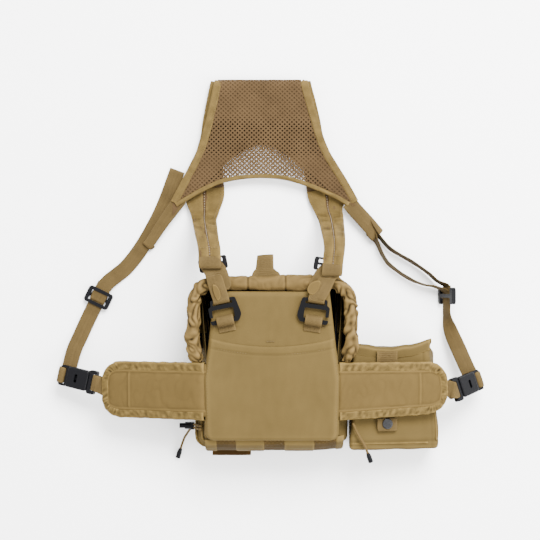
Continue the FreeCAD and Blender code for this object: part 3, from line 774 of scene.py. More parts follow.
def rimLine():
    f = rimFacts
    points = [at(-f["half"] + 5, f["end"] - 3, f["z"] - 5), at(-f["half"] + 1, f["end"] + 8, f["z"] - 1),
              at(-f["half"] - 2, 30, f["z"]), at(-f["half"] - 0.5, 58, f["z"])]
    for i in range(6):
        a = math.radians(90 + 90 * (1 - i / 5))
        points.append(at(-f["half"] + f["corner"] + f["corner"] * math.cos(a),
                         f["y"] - f["corner"] + f["corner"] * math.sin(a), f["z"]))
    points += [at(x, f["y"] + 0.4, f["z"] + 0.2) for x in (-45, -15, 15, 45)]
    for i in range(6):
        a = math.radians(90 - 90 * i / 5)
        points.append(at(f["half"] - f["corner"] + f["corner"] * math.cos(a),
                         f["y"] - f["corner"] + f["corner"] * math.sin(a), f["z"]))
    points += [at(f["half"] + 1, 58, f["z"]), at(f["half"] + 2, 30, f["z"]), at(f["half"] - 1, f["end"] + 8, f["z"] - 1),
               at(f["half"] - 5, f["end"] - 3, f["z"] - 5)]
    return points


def makeLid():
    def swell(distance, angle, centre):
        x, y = centre.x / mm, centre.y / mm
        gather = 1.0 - 0.85 * smoothStep(70, 40, abs(x + 6)) * smoothStep(80, 95, y)
        slant = distance + 7 * math.sin(angle + 2.5 * rough(distance / 30, 0, 0, 5))
        fold = rough(slant / 13, math.cos(angle) * 0.9, math.sin(angle) * 0.9, 11)
        crease = abs(rough(slant / 10, math.cos(angle) * 0.8, math.sin(angle) * 0.8, 31))
        size = 8.9 + gather * (3.4 * fold + 4.6 * crease - 1.7)
        size += (1.4 * smoothStep(-30, 25, x) * smoothStep(60, 45, abs(x))) * smoothStep(80, 95, y)
        size += 0.8 * rough(distance / 22, math.cos(angle), math.sin(angle), 2)
        size -= 2.5 * smoothStep(12, 0, y)
        for seam in (-30, 17):
            size -= 0.9 * bump(x, seam, 1.3) * smoothStep(80, 95, y)
        return size

    # the rim's creases get stronger painted shade and its puffs stronger painted light
    rim = finishPiece(pipeBm(rimLine(), 8.8, around=44, step=1.25, swell=swell), "lidRim", cloth["hemCloth"],
                      "lid", ["lid_rim", "rim_elastic"], gain=4.0)

    def hood(u, v, side):
        z = mixed(19.5, 90.5, v)
        start = lineAt([(18.5, 32), (40, 24), (91, 6)], z)
        x, y, nx, ny = uPath(98.6, -103.8, -start, 22, u)
        y = -y
        ny = -ny
        bulge = 1.6 * math.sin(math.pi * v) + 0.9 * rough(x / 20, y / 20, z / 14, 9) * math.sin(math.pi * v)
        inner = 0 if side > 0 else 2.0 * (math.sin(math.pi * v) ** 0.3) * (math.sin(math.pi * u) ** 0.1)
        return at(x + nx * (bulge - inner), y + ny * (bulge - inner), z)

    finishPiece(pillowBm(110, 30, hood), "lidHood", cloth["packCloth"], "lid", ["lid_hood"])

    def hoodFloor(u, v, side):
        y = mixed(32.5, 103.6, v)
        inset = 22 - math.sqrt(max(22 ** 2 - max(y - 81.6, 0) ** 2, 0))
        x = mixed(-98.4 + inset, 98.4 - inset, u)
        edge = min(98.4 - inset - abs(x), y - 32.5, 103.6 - y)
        half = 1.1 * math.sqrt(max(1 - (1 - min(edge / 1.5, 1)) ** 2, 0))
        return at(x, y, 20.0 + side * half)

    finishPiece(pillowBm(40, 20, hoodFloor), "lidFloor", cloth["packCloth"], "lid")

    def liner(u, v):
        z = mixed(24, 84, v)
        x, y, nx, ny = uPath(95.9, -101.0, -40, 21, u)
        ripple = 0.3 * rough(x / 12, y / 12, z / 10, 5)
        return at(x + nx * ripple, -y - ny * ripple, z)

    bm = gridBm(80, 12, liner)
    bmesh.ops.solidify(bm, geom=bm.faces[:], thickness=0.0004)
    finishPiece(bm, "lidLining", cloth["liningCloth"], "lid", ["lid_lining"])

    for x0, x1, name in ((-97.5, -87.9, "lidLeftLiner"), (87.9, 97.5, "lidRightLiner")):
        def curtain(u, v, side):
            z = mixed(20, 88, v)
            y = lineAt([(18.5, 32), (40, 24), (91, 6)], z) + 1.5
            return at(mixed(x0, x1, u), y + side * 0.4 * (0.01 < u < 0.99) * (0.01 < v < 0.99), z)

        finishPiece(pillowBm(8, 20, curtain), name, cloth["liningCloth"], "lid")

    for x0, x1, name in ((-95.5, -82.0, "mouthWebLeft"), (82.0, 95.5, "mouthWebRight")):
        def web(u, v, side):
            return at(mixed(x0, x1, u), mixed(-13, 34.5, v), 23.4 + side * 0.4)

        finishPiece(pillowBm(6, 12, web), name, cloth["liningCloth"], "pack")

    # pull tab: a ribbed loop on a broad foot
    loop = [(at(-9, 106, 92.0), Vector((1, 0, 0)), 1.0), (at(-9, 120, 95.0), Vector((1, 0.02, 0)), 0.86),
            (at(-8.5, 131, 94.0), Vector((1, 0.06, 0)), 0.8), (at(-8.5, 134.5, 90.6), Vector((1, 0.08, 0)), 0.8),
            (at(-8.5, 131, 87.2), Vector((1, 0.06, 0)), 0.8), (at(-9, 120, 87.6), Vector((1, 0.02, 0)), 0.86),
            (at(-9, 106, 90.0), Vector((1, 0, 0)), 1.0)]
    tape("pullTab", loop, 26, 2.0, "lid", ["lid_pull_tab"], step=0.7, ribs=0.45)
    foot = [(at(-8, 102.5, 92.5), Vector((1, 0, 0)), 1.0), (at(-8, 108, 93.0), Vector((1, 0, 0)), 0.95),
            (at(-8.5, 113, 93.5), Vector((1, 0, 0)), 0.82), (at(-8.5, 118, 93.6), Vector((1, 0, 0)), 0.58)]
    tape("pullTabFoot", foot, 39, 4.6, "lid", step=0.7, ribs=0.4)


makeLid()
print("lid made")


# ---- wings ----
wingFacts = {
    "left": {"droop": 19.0, "endLow": -71.0, "stitch": 97.4, "seed": 2.0},
    "right": {"droop": 10.0, "endLow": -64.5, "stitch": 99.8, "seed": 9.0},
}
wingSize = {"length": 136.0, "low": -71.5, "corner": 25.0, "band": 10.0}


def wingEdges(side, x):
    low = mixed(wingSize["low"], wingFacts[side]["endLow"], x / wingSize["length"])
    high = 0.0
    inset = x - (wingSize["length"] - wingSize["corner"])
    if inset > 0:
        cut = wingSize["corner"] - math.sqrt(max(wingSize["corner"] ** 2 - inset ** 2, 0))
        low, high = low + cut, high - cut
    return low, high


def wingOutline(side):  # once round the free edge: (x, y, inward x, inward y, binding width)
    low = wingFacts[side]["endLow"]
    r = wingSize["corner"]
    reach = wingSize["length"]
    spots = []
    for i in range(25):
        spots.append((mixed(-4, reach - r, i / 24), 0.0, 0.0, -1.0))
    for i in range(1, 12):
        a = math.radians(90 - 90 * i / 12)
        spots.append((reach - r + r * math.cos(a), -r + r * math.sin(a), -math.cos(a), -math.sin(a)))
    for i in range(6):
        spots.append((reach, mixed(-r, low + r, i / 5), -1.0, 0.0))
    for i in range(1, 12):
        a = math.radians(-90 * i / 12)
        spots.append((reach - r + r * math.cos(a), low + r + r * math.sin(a), -math.cos(a), -math.sin(a)))
    for i in range(25):
        x = mixed(reach - r, -4, i / 24)
        spots.append((x, wingEdges(side, x)[0], 0.06, 1.0))
    widths = []
    for x, y, nx, ny in spots:
        share = (y - low) / -low
        width = mixed(11.0, 14.0, share) if x < reach - r else mixed(9.5, lineAt([(0, 11), (1, 14)], share), abs(ny) ** 2)
        widths.append(width)
    return [(*spot, width) for spot, width in zip(spots, widths)]


def makeWingBinding(side):
    facts = wingFacts[side]
    spots = wingOutline(side)
    count = len(spots) - 1

    def place(u, v):
        d = u * count
        i = min(int(d), count - 1)
        a, b = spots[i], spots[i + 1]
        t = d - i
        x, y, nx, ny, width = [mixed(a[k], b[k], t) for k in range(5)]
        size = math.hypot(nx, ny)
        turn = 2 * v - 1  # 1 at the face's seam, -1 at the back's seam
        across = abs(turn)
        inward = width * max(across - 0.12, 0) / 0.88 - 0.4 * (1 - min(across / 0.12, 1))
        height = 3.2 * math.sin(math.pi / 2 * min(across / 0.2, 1)) * math.copysign(1, turn)
        along = u * 300
        swell = math.sin(math.pi * min(max((across - 0.1) / 0.88, 0), 1)) ** 0.5
        uneven = 0.45 + 1.1 * abs(rough(along / 26, 0.3, 0, facts["seed"] + 3))
        pucker = 1.2 * rough(along / 3.6 + inward / 9, inward / 7, 0, facts["seed"]) * uneven
        pucker += 1.0 * rough(along / 10, inward / 6, 0, 5)
        height += math.copysign(1, turn) * (1.5 * swell + pucker * min(across * 3, 1) * (0.35 + 0.65 * swell))
        if across > 0.97:
            height = math.copysign(3.0, turn)
        inward += 0.8 * rough(along / 7, 3, 0, facts["seed"] + 2)
        return at(x + nx / size * inward, y + ny / size * inward, height)

    bm = transformed(gridBm(190, 30, place, (0.3, 0.03)), wingMatrix(side))
    bmesh.ops.recalc_face_normals(bm, faces=bm.faces)
    bmesh.ops.solidify(bm, geom=bm.faces[:], thickness=0.0005)
    # the binding's puckers get stronger painted shade and painted light
    binding = finishPiece(bm, f"{side}WingBinding", cloth["edgeTape"], None, gain=4.2)
    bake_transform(binding)


def wingEdge(side, x, y):  # distance in from the wing's free edge
    low, high = wingEdges(side, min(max(x, 0), wingSize["length"]))
    edge = max(min(y - low, high - y), 0)
    endGap = wingSize["length"] - x
    return min(edge, endGap + 0.15 * edge) if endGap < 22 else edge


def wingRelief(side, x, y):
    facts = wingFacts[side]
    edge = wingEdge(side, x, y)
    inside = smoothStep(wingSize["band"] + 1, wingSize["band"] + 6, edge)
    height = -1.1 * bump(edge, wingSize["band"] + 1.5, 1.6)
    height -= inside * 1.1 * bump(x, facts["stitch"], 1.4)
    height += inside * (0.9 * rough(x / 26, y / 22, 0, facts["seed"] + 7)
                        + 0.5 * rough(x / 9, y / 14, 0, facts["seed"] + 17))
    return height


def makeWing(side):
    facts = wingFacts[side]

    def skin(u, v, face):
        t = mixed(u, math.sin(math.pi / 2 * u), 0.45)
        x = wingSize["length"] * t
        low, high = wingEdges(side, x)
        y = mixed(low, high, mixed(v, 0.5 - 0.5 * math.cos(math.pi * v), 0.5))
        edge = wingEdge(side, x, y)
        thick = 2.2 * math.sqrt(max(1 - (1 - min(edge / 1.8, 1)) ** 2, 0))
        thick += 1.6 * smoothStep(wingSize["band"], wingSize["band"] + 9, edge)
        return at(x - 6.0 * (1 - smoothStep(0, 8, x)), y, face * max(thick, 0.15 if edge > 0.2 else 0))

    bm = pillowBm(78, 54, skin)
    bm = inflateBm(bm, 4.5, 1.2)
    for vert in bm.verts:  # the root stays tucked under the back panel
        vert.co.x -= 5.5 * mm * (1 - smoothStep(-3, 14, vert.co.x / mm))
    for vert in bm.verts:
        x, y, z = vert.co / mm
        if abs(z) > 0.4:
            vert.co.z += math.copysign(wingRelief(side, x, y) * min(abs(z) / 2, 1) * mm, z)
    pad = finishPiece(transformed(bm, wingMatrix(side)), f"{side}WingPad", cloth["wingCloth"], None,
                      [f"{side}_wing_pad"])
    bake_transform(pad)
    makeWingBinding(side)

    def mark(x, y, lift):
        return wingMatrix(side) @ at(x, y, lift)

    crossRow = [mark(facts["stitch"], y, 3.7) for y in range(-56, -14, 9)]
    seam = [mark(x + nx * (w + 0.5), y + ny * (w + 0.5), 3.2) for x, y, nx, ny, w in wingOutline(side)[2:-2:3]]
    stitchRows(f"{side}WingStitches", [crossRow, seam], f"{side}_wing")


for wingSide in ("left", "right"):
    makeWing(wingSide)
print("wings made")


# ---- yoke ----
yokeFacts = {
    "left": [(205, -130), (251, -106), (277, -94), (319, -82.5), (363, -73)],
    "right": [(206, 111), (232, 96.5), (252, 84), (277, 70), (319, 56.5), (353.5, 47), (364, 45)],
    "hem": [(-128, 197), (-109.5, 208), (-87, 220.5), (-61.4, 231), (-22, 236.5), (17.7, 234), (54.4, 222.5),
            (88.3, 207), (104, 197)],
    "top": 353.5, "pitch": 4.3,
}


def yokeHeight(x, y):
    z = 17.4 + 1.2 * rough(x / 50, y / 50, 0, 4)
    z += 1.0 * smoothStep(230, 300, y)
    bend = y - yokeFacts["top"]
    if bend > 0:
        z = 9.75 + (z - 9.75) * math.sqrt(max(1 - (bend / 9.8) ** 2, 0.0))
    return z


def insideYoke(x, y, inset):
    if y > yokeFacts["top"] + 9.6 or y < 188:
        return False
    if x < curveLine(yokeFacts["left"], y) + inset or x > curveLine(yokeFacts["right"], y) - inset:
        return False
    return y > curveLine(yokeFacts["hem"], x) + inset


def curveLine(table, value):  # Catmull-Rom reading of (position, size) pairs
    if value <= table[0][0]:
        return table[0][1]
    if value >= table[-1][0]:
        return table[-1][1]
    for i in range(len(table) - 1):
        a, b = table[i], table[i + 1]
        if value <= b[0]:
            before = table[i - 1] if i else a
            after = table[i + 2] if i + 2 < len(table) else b
            span = b[0] - a[0]
            t = (value - a[0]) / span
            slopeA = (b[1] - before[1]) / max(b[0] - before[0], 1e-6) * span
            slopeB = (after[1] - a[1]) / max(after[0] - a[0], 1e-6) * span
            return ((2 * t ** 3 - 3 * t ** 2 + 1) * a[1] + (t ** 3 - 2 * t ** 2 + t) * slopeA
                    + (-2 * t ** 3 + 3 * t ** 2) * b[1] + (t ** 3 - t ** 2) * slopeB)
    return table[-1][1]


def netBm(keep, height, low, high, strand, thick):
    # a slanting lattice: inset each square of a turned grid and take its middle out
    pitch = yokeFacts["pitch"]
    span = max(high[0] - low[0], high[1] - low[1]) * 0.75
    cells = int(2 * span / pitch)
    bm = bmesh.new()
    bmesh.ops.create_grid(bm, x_segments=cells, y_segments=cells, size=span)
    middle = Vector(((low[0] + high[0]) / 2, (low[1] + high[1]) / 2, 0))
    turn = Matrix.Translation(middle) @ Matrix.Diagonal((1.0, 0.92, 1, 1)) @ Matrix.Rotation(math.radians(45), 4, "Z")
    transformed(bm, turn)
    gone = [f for f in bm.faces if not keep(*f.calc_center_median().xy)]
    bmesh.ops.delete(bm, geom=gone, context="FACES")
    holes = bm.faces[:]
    bmesh.ops.inset_individual(bm, faces=holes, thickness=strand / 2, use_even_offset=True)
    bmesh.ops.delete(bm, geom=holes, context="FACES_ONLY")
    for vert in bm.verts:
        vert.co = at(vert.co.x, vert.co.y, height(vert.co.x, vert.co.y))
    bmesh.ops.recalc_face_normals(bm, faces=bm.faces)
    bmesh.ops.solidify(bm, geom=bm.faces[:], thickness=thick * mm)
    return bm


def makeYoke():
    bm = netBm(lambda x, y: insideYoke(x, y, 3.0), yokeHeight, (-128, 190), (112, 364), 2.1, 1.3)
    net = finishPiece(bm, "yokeNet", cloth["meshCloth"], "pack", ["yoke_mesh"])

    # the second ply: close behind the top, falling away lower down
    def ply(u, v, side):
        y = mixed(279 - 0.0145 * mixed(-80, 84, u) ** 2, 362.2, v)
        x = mixed(curveLine(yokeFacts["left"], y) + 1, curveLine(yokeFacts["right"], y) - 1, u)
        z = yokeHeight(x, min(y, 353.5)) - 1.5
        z = mixed(z, 3.0, bump(y, 288, 13))
        bend = max(y - 352.5, 0) / 9.8
        z = 9.75 + (z - 9.75) * math.sqrt(max(1 - bend ** 2, 0)) if bend else z
        return at(x, y, z + side * 0.35)

    under = finishPiece(pillowBm(40, 50, ply), "yokeUnderPly", cloth["meshCloth"], "pack")
    crest = [at(x, 362.4 + 0.5 * rough(x / 9, 0, 0, 3), 10.4) for x in range(-70, 44, 6)]
    finishPiece(pipeBm(crest, 1.7, around=10, step=2), "yokeCrest", cloth["meshCloth"], "pack")

    left = [(curveLine(yokeFacts["left"], y), y) for y in (205, 220, 236, 252, 270, 290, 312, 332, 352, 358, 362)]
    right = [(curveLine(yokeFacts["right"], y), y) for y in (206, 220, 236, 252, 270, 290, 312, 332, 352, 358, 362)]
    hem = [(x, curveLine(yokeFacts["hem"], x)) for x in (-124, -109, -98, -84, -66, -46, -24, -4, 16, 36, 54, 70, 86, 99)]
    underLeft = [(x - 5.2 * smoothStep(266, 330, y), y) for x, y in left if y > 255]
    underRight = [(x + 4.0 * smoothStep(280, 330, y), y) for x, y in right if y > 265]
    edges = [("yokeLeftBinding", left, 10.0, 1, 0), ("yokeRightBinding", right, 10.0, -1, 0),
             ("yokeHemBinding", hem, 5.6, 0, 0), ("yokeLeftUnderBinding", underLeft, 9.0, 1, 8.0),
             ("yokeRightUnderBinding", underRight, 9.0, -1, 8.0)]
    for name, points, width, inward, drop in edges:
        stations = []
        for i, (x, y) in enumerate(points):
            a = Vector(points[max(i - 1, 0)])
            b = Vector(points[min(i + 1, len(points) - 1)])
            ahead = (b - a).normalized()
            side = Vector((ahead.y, -ahead.x)) * inward if inward else Vector((-ahead.y, ahead.x))
            centre = Vector((x, y)) + side * (width / 2 - 1.5)
            z = yokeHeight(x, y) - 0.4
            if drop:
                z = max(z - drop * smoothStep(262, 300, y), 4.0)
            stations.append((at(centre.x, centre.y, z), Vector((side.x, side.y, 0.0))))
        tape(name, stations, width, 3.2, "pack", ["yoke_binding"] if name == "yokeHemBinding" else (),
             "edgeTape", step=1.6, around=20, waver=1.3, seed=len(name))
    rows = []
    for points, inward in ((left, 1), (right, -1)):
        rows.append([at(x + inward * 7.2, y, yokeHeight(x, y) + 1.4) for x, y in points[:-2]])
    stitchRows("yokeStitches", rows, "pack", pitch=3.0, long=1.8)


makeYoke()
print("yoke made")


# ---- shoulder straps ----
strapFacts = {
    "left": {"side": -1, "end": 118.5, "outer": [(110, -89), (145, -92), (180, -103), (210, -113), (225, -114), (280, -92), (354, -72)],
             "inner": [(110, -63), (140, -64), (180, -72), (215, -62), (250, -64), (278, -62), (296, -14), (354, -13)]},
    "right": {"side": 1, "end": 109.0, "outer": [(110, 86), (145, 91), (180, 92), (200, 92), (212, 97), (225, 95), (280, 68), (354, 45)],
              "inner": [(110, 62), (145, 65), (180, 60), (215, 46), (250, 42), (278, 38), (296, -12), (354, -12.5)]},
}


def strapPath(end):  # side view of a shoulder strap: (y, z) of its middle
    return [Vector((0, 353, 3.6)), Vector((0, 310, 3.6)), Vector((0, 260, 3.6)), Vector((0, 215, 3.8)),
            Vector((0, 198, 5.5)), Vector((0, 186, 15)), Vector((0, 172, 52)), Vector((0, 158, 86)),
            Vector((0, 148, 97)), Vector((0, end + 12, 105)), Vector((0, end, 105.6))]


def makeShoulderStrap(side):
    facts = strapFacts[side]
    line = smoothLine(strapPath(facts["end"]), 0)
    marks = measured(line)
    total = marks[-1]

    def spot(c, distance, lift):
        p = sampleLine(line, marks, distance)
        ahead = (sampleLine(line, marks, distance + 1) - sampleLine(line, marks, distance - 1)).normalized()
        out = lineAt(facts["outer"], p.y)
        inn = lineAt(facts["inner"], p.y)
        x = mixed(out, inn, c)
        up = Vector((0, -ahead.z, ahead.y))
        if up.z < 0 or (abs(up.z) < 0.2 and up.y < 0):
            up = -up
        return (Vector((x, p.y, p.z)) + up * lift) * mm

    def body(u, v, face):
        edge = min(u, 1 - u) * 35
        half = 2.6 * math.sqrt(max(1 - (1 - min(edge / 2.2, 1)) ** 2, 0))
        ripple = 0.5 * rough(u * 3, v * 22, 0, facts["side"] * 3)
        rib = 0.35 * math.sin(u * 2 * math.pi * 4.5) * (1 if 0.2 < u < 0.8 else 0)
        return spot(u, v * total, face * half + (ripple + rib) * min(edge / 3, 1))

    bm = pillowBm(28, 120, body, (0.035, total * mm))
    strap = finishPiece(bm, f"{side}ShoulderStrap", cloth["meshCloth"], "pack",
                        [f"{side}_shoulder_strap"])
    for label, c0, c1 in (("Outer", -0.01, 0.46), ("Inner", 0.54, 1.01)):
        stations = []
        for i in range(16):
            d = mixed(total * 0.44, total - 1.0, i / 15)
            a, b = spot(c0, d, 3.1), spot(c1, d, 3.1)
            stations.append(((a + b) / 2, (b - a).normalized(), (b - a).length / (14 * mm)))
        tape(f"{side}Strap{label}Webbing", stations, 14, 1.6, "pack", step=1.0, waver=2.2, seed=c0 * 9,
             ribs=0.22, material="edgeTape")
    a, b = spot(-0.03, total - 4, 3.6), spot(1.03, total - 4, 3.6)
    stations = [(spot(0.5, total - back, lift), (b - a).normalized())
                for back, lift in ((13, 3.8), (9, 4.6), (4, 4.8), (0.5, 3.4), (0.2, 0.5), (3, -1.5))]
    tape(f"{side}StrapFold", stations, (b - a).length / mm, 2.0, "pack", step=0.9, waver=0.8, seed=4,
         ribs=0.25)
    lines = [[spot(c, mixed(total * 0.45, total - 22, i / 11), 4.3) for i in range(12)] for c in (0.08, 0.92)]
    lines += [[spot(c, d, 4.8) for c in (0.05, 0.5, 0.95)] for d in (total - 24, total - 7)]
    stitchRows(f"{side}ShoulderStitches", lines, "pack")
    centre = [[spot(0.5, mixed(total * 0.45, total - 10, i / 14), 3.6) for i in range(15)]]
    seam = stitchRows(f"{side}ShoulderSeam", centre, "pack", pitch=3.4, long=1.8, thick=0.65)
    seam.data.materials[0] = cloth["threadPale"]


for strapSide in ("left", "right"):
    makeShoulderStrap(strapSide)
print("shoulder straps made")


# ---- hook straps, loops and patches ----
hookFacts = {
    "left": {"x": -58.0, "lean": 11.5, "top": (-73.5, 112.5), "patch": (-69.8, 88.0, 5.4, 10.5)},
    "right": {"x": 51.5, "lean": -8.0, "top": (70.0, 108.5), "patch": (54.0, 94.0, 9.5, 10.0)},
}


def makeHookStrap(side):
    facts = hookFacts[side]
    lean = math.radians(facts["lean"])
    along = Vector((-math.sin(lean), math.cos(lean), 0))
    across = Vector((math.cos(lean), math.sin(lean), 0))
    axis = Vector((facts["x"], 53, 103.5))
    bar = axis + along * 25.6  # the hook's top bar
    top = Vector((facts["top"][0], facts["top"][1], 103.6))
    run = top - bar
    beyond = run.normalized() * 12
    stations = [(bar + along * 5.0 + Vector((0, 0, -3.0)), across), (bar - along * 0.5 + Vector((0, 0, -3.0)), across),
                (bar - along * 3.3, across), (bar - along * 0.5 + Vector((0, 0, 2.9)), across),
                (bar + along * 3.0 + Vector((0, 0, 3.0)), across)]
    stations += [(bar + run * t + Vector((0, 0, 3.0 * (1 - t) + 0.6)), across) for t in (0.4, 0.7, 1.0)]
    stations = [(*row, 1.0) for row in stations] + [(top + beyond + Vector((0, 0, -4.4)), across, 1.35)]
    stations = [(row[0] * mm, *row[1:]) for row in stations]
    strap = tape(f"{side}HookStrap", stations, 20.5, 1.7, None, [f"{side}_hook_strap"], step=1.3, waver=0.9,
                 seed=facts["x"])
    start, end = (bar + run * 0.95) * mm, (bar + run * 0.1) * mm
    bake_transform(strap)
    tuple(start)
    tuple(end)

    # the second layer, sewn behind and showing beside the first
    shift = 7.5 if side == "left" else -7.0
    layer = [(bar + run * t + across * shift + Vector((0, 0, 1.6 - 1.6 * t)), across, w)
             for t, w in ((0.32, 0.6), (0.45, 1.0), (0.7, 1.05), (1.0, 1.0))]
    layer.append((top + beyond * 0.9 + across * shift * 0.5 + Vector((0, 0, -4.4)), across))
    back = tape(f"{side}HookStrapBack", [(row[0] * mm, *row[1:]) for row in layer], 20.5, 1.7, None, step=1.5,
                waver=1.1, seed=facts["x"] + 5)
    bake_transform(back)
    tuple(start)
    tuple(end)

    # smooth patch with one round side
    px, py, wide, tall = facts["patch"]
    share = (py - bar.y) / run.y
    centre = Vector((px, py, (bar + run * share).z + 3.0 * (1 - share) + 2.2))
    heading = run.normalized()

    def patch(u, v, face):
        angle = 2 * math.pi * u
        flat = math.cos(angle) if math.cos(angle) > 0 else 0.45 * math.cos(angle)
        flat *= 1 if side == "left" else -1
        half = 0.8 * math.sqrt(max(1 - (1 - min((1 - v) * 8, 1)) ** 2, 0))
        local = across * (v * wide * flat) + heading * (v * tall * math.sin(angle))
        return (centre + local + Vector((0, 0, face * half))) * mm

    bm = pillowBm(36, 12, patch)
    bmesh.ops.remove_doubles(bm, verts=bm.verts, dist=3e-5)
    piece = finishPiece(bm, f"{side}StrapPatch", cloth["wingCloth"], None)
    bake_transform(piece)
    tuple(start)
    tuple(end)
    tacks = [[(bar + run * t + across * c + Vector((0, 0, 3.0 * (1 - t) + 1.8))) * mm for c in (-9, 0, 9)]
             for t in (0.9, 0.97)]
    stitchRows(f"{side}HookTacks", tacks, "pack", pitch=1.6, long=1.2)

    # loop of webbing that holds the hook's lower bar
    ring = []
    for i in range(9):
        a = math.radians(-50 + 280 * i / 8)
        ring.append((axis + along * (6.1 * math.cos(a)) + Vector((0, 0, 6.1 * math.sin(a)))))
    ring = [p for p in ring if p.z > 98.4]
    ring = [ring[0] + along * 3 + Vector((0, 0, -1.0))] + ring
    ring.append(axis - along * 7.5 + Vector((0, 0, -4.4)))
    ring.append(axis - along * 14.0 + Vector((0, 0, -4.2)))
    tape(f"{side}HookLoop", [(p * mm, across) for p in ring], 21.5, 1.9, "pack",
         ["hook_loops"] if side == "left" else (), step=1.2)


for hookSide in ("left", "right"):
    makeHookStrap(hookSide)
print("hook straps made")


# ---- side straps ----
def stationList(rows):
    return [(at(*row[:3]), Vector(row[3]), *row[4:]) for row in rows]


def makeSideStraps():
    flat = (0.9, -0.44, 0.0)
    left = [(-263, -14, 24, (1, 0.25, 0)), (-261, -4, 19.5, (1, 0.1, 0)), (-257, 13, 12, (1, -0.1, 0)),
            (-249, 32, 6.5, (0.95, -0.3, 0)), (-240, 52, 5.0, flat), (-230, 72.5, 5.0, flat), (-221, 91, 5.0, flat),
            (-217.5, 98, 4.8, flat)]
    strap = tape("leftLowerStrap", stationList(left), 20, 1.6, None, ["left_lower_strap"], seed=1)
    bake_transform(strap)
    upper = [(-229, 75, 5.6, flat), (-221, 91, 6.6, flat), (-213, 101, 5.0, (0.7, -0.7, 0)), (-203, 109, 3.2, (0.6, -0.8, 0)),
             (-190, 120, 2.8, (0.7, -0.7, 0)), (-174, 140, 2.8, (0.82, -0.56, 0)), (-158, 166, 2.8, (0.87, -0.5, 0)),
             (-141, 200, 2.8, (0.89, -0.45, 0)), (-123.5, 246.5, 2.8, (0.85, -0.53, 0))]
    strap = tape("leftUpperStrap", stationList(upper), 20, 1.6, None, ["left_upper_strap"], seed=4)
    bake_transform(strap)

    edgeOn = (0.42, 0.0, 0.91)
    right = [(256, -20, 35, (0.95, 0.3, 0.0)), (251, -9, 30, (0.96, 0.28, 0.0)), (242, 13, 22, (0.97, 0.2, 0.1)),
             (232, 37, 18, (0.85, 0.2, 0.48)), (227, 58, 18.0, edgeOn), (227, 76, 18.0, edgeOn), (227, 96, 18.0, edgeOn)]
    strap = tape("rightLowerStrap", stationList(right), 20, 1.6, None, ["right_lower_strap"], seed=2)
    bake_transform(strap)
    upright = (0.15, 0.1, 1)
    outerRun = [(122, 181, 6, (0.5, 0.5, 0.7)), (132, 170, 10.2, (0.2, 0.15, 1)), (141, 158, 11, upright),
                (156, 142, 11, upright), (180, 128, 11, upright), (202, 113, 12, upright), (214, 102, 14, upright),
                (226, 95, 17.0, edgeOn), (228, 86, 18.0, edgeOn)]
    innerRun = [(128, 167, 6, (0.5, 0.5, 0.7)), (136, 154, 10.2, (0.2, 0.15, 1)), (144, 136, 11, upright),
                (155, 121, 11, upright), (180, 104, 11, upright), (197, 97, 12, upright), (212, 94, 14, upright),
                (224.5, 88, 17, edgeOn), (225.5, 80, 18, edgeOn)]
    for name, run, nodes in (("rightOuterRun", outerRun, ["right_upper_strap"]), ("rightInnerRun", innerRun, ())):
        strap = tape(name, stationList(run), 20, 1.5, None, nodes, seed=len(name), waver=0.6)
        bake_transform(strap)

    tail = [(-118, 209, 15.5, (0.9, 0.1, 0), 1.0), (-128, 196, 14.5, (0.88, -0.2, 0), 1.0),
            (-142, 177, 12.5, (0.85, -0.45, 0), 0.9), (-158, 153, 9.5, (0.83, -0.55, 0), 0.8),
            (-163, 147, 6.5, (0.8, -0.6, 0), 0.85), (-158, 151, 1.4, (0.8, -0.6, 0), 0.85)]
    tape("leftYokeTail", stationList(tail), 17, 2.6, "pack", ["yoke_tails"], seed=6, step=2)
    tail = [(100, 204, 16, (0.75, 0.66, 0)), (110, 192, 15.0, (0.72, 0.69, 0)), (122, 179, 14.5, (0.7, 0.7, 0)),
            (134, 165, 14.0, (0.7, 0.7, 0)), (137.5, 161, 10.0, (0.7, 0.7, 0)), (133, 165, 6.0, (0.7, 0.7, 0))]
    tape("rightYokeTail", stationList(tail), 20, 2.6, "pack", seed=7, step=2)


makeSideStraps()


def buckleMatrix(side):
    facts = {"left": ((224.6, -29, 45), 12, 19), "right": ((230, -37, 64), 18, 41)}[side]
    base, yaw, pitch = facts
    place = Matrix.Translation(at(*base)) @ Matrix.Rotation(math.radians(yaw), 4, "Z")
    place = place @ Matrix.Rotation(math.radians(pitch), 4, "Y")
    if side == "left":
        place = Matrix.Diagonal((-1, 1, 1, 1)) @ place
    return place


def makeBuckleWebbing(side):
    place = buckleMatrix(side)
    toBuckle = place.inverted() @ wingMatrix(side)
    y = Vector((0, 1, 0))
    rootAcross = (toBuckle.to_3x3() @ y).normalized()
    root = toBuckle @ at(131, 0.5 * (wingFacts[side]["endLow"]), 0)
    for face, reach in ((1, 4.6), (-1, -4.6)):
        stations = [(root + Vector((0, 0, face * 0.001)), rootAcross), (mixed(root, at(0, 0, reach), 0.6), y),
                    (at(-2, 0, reach), y), (at(2.6, 0, reach), y), (at(4.6, 0, reach * 0.75), y), (at(4.7, 0, 0), y)]
        bm = transformed(tapeBm(stations, 20, 1.5, step=1.3), place)
        finishPiece(bm, f"{side}WingWebbing{'Upper' if face > 0 else 'Lower'}", cloth["strapWebbing"],
                    f"{side}_wing", [f"{side}_wing_webbing"] if face > 0 else ())
    ring = []
    for i in range(11):
        a = math.radians(-170 + 340 * i / 10)
        ring.append((at(50.3 + 4.6 * math.cos(a), 0, 4.5 * math.sin(a)), y))
    bm = transformed(tapeBm(ring, 20, 1.7, step=1.0), place)
    finishPiece(bm, f"{side}StrapWrap", cloth["strapWebbing"], f"{side}_socket")


for buckleSide in ("left", "right"):
    makeBuckleWebbing(buckleSide)
print("side straps made")


# ---- pouch ----
def pouchTop(x):
    return lineAt([(103, 78.0), (210, 59.0)], x)


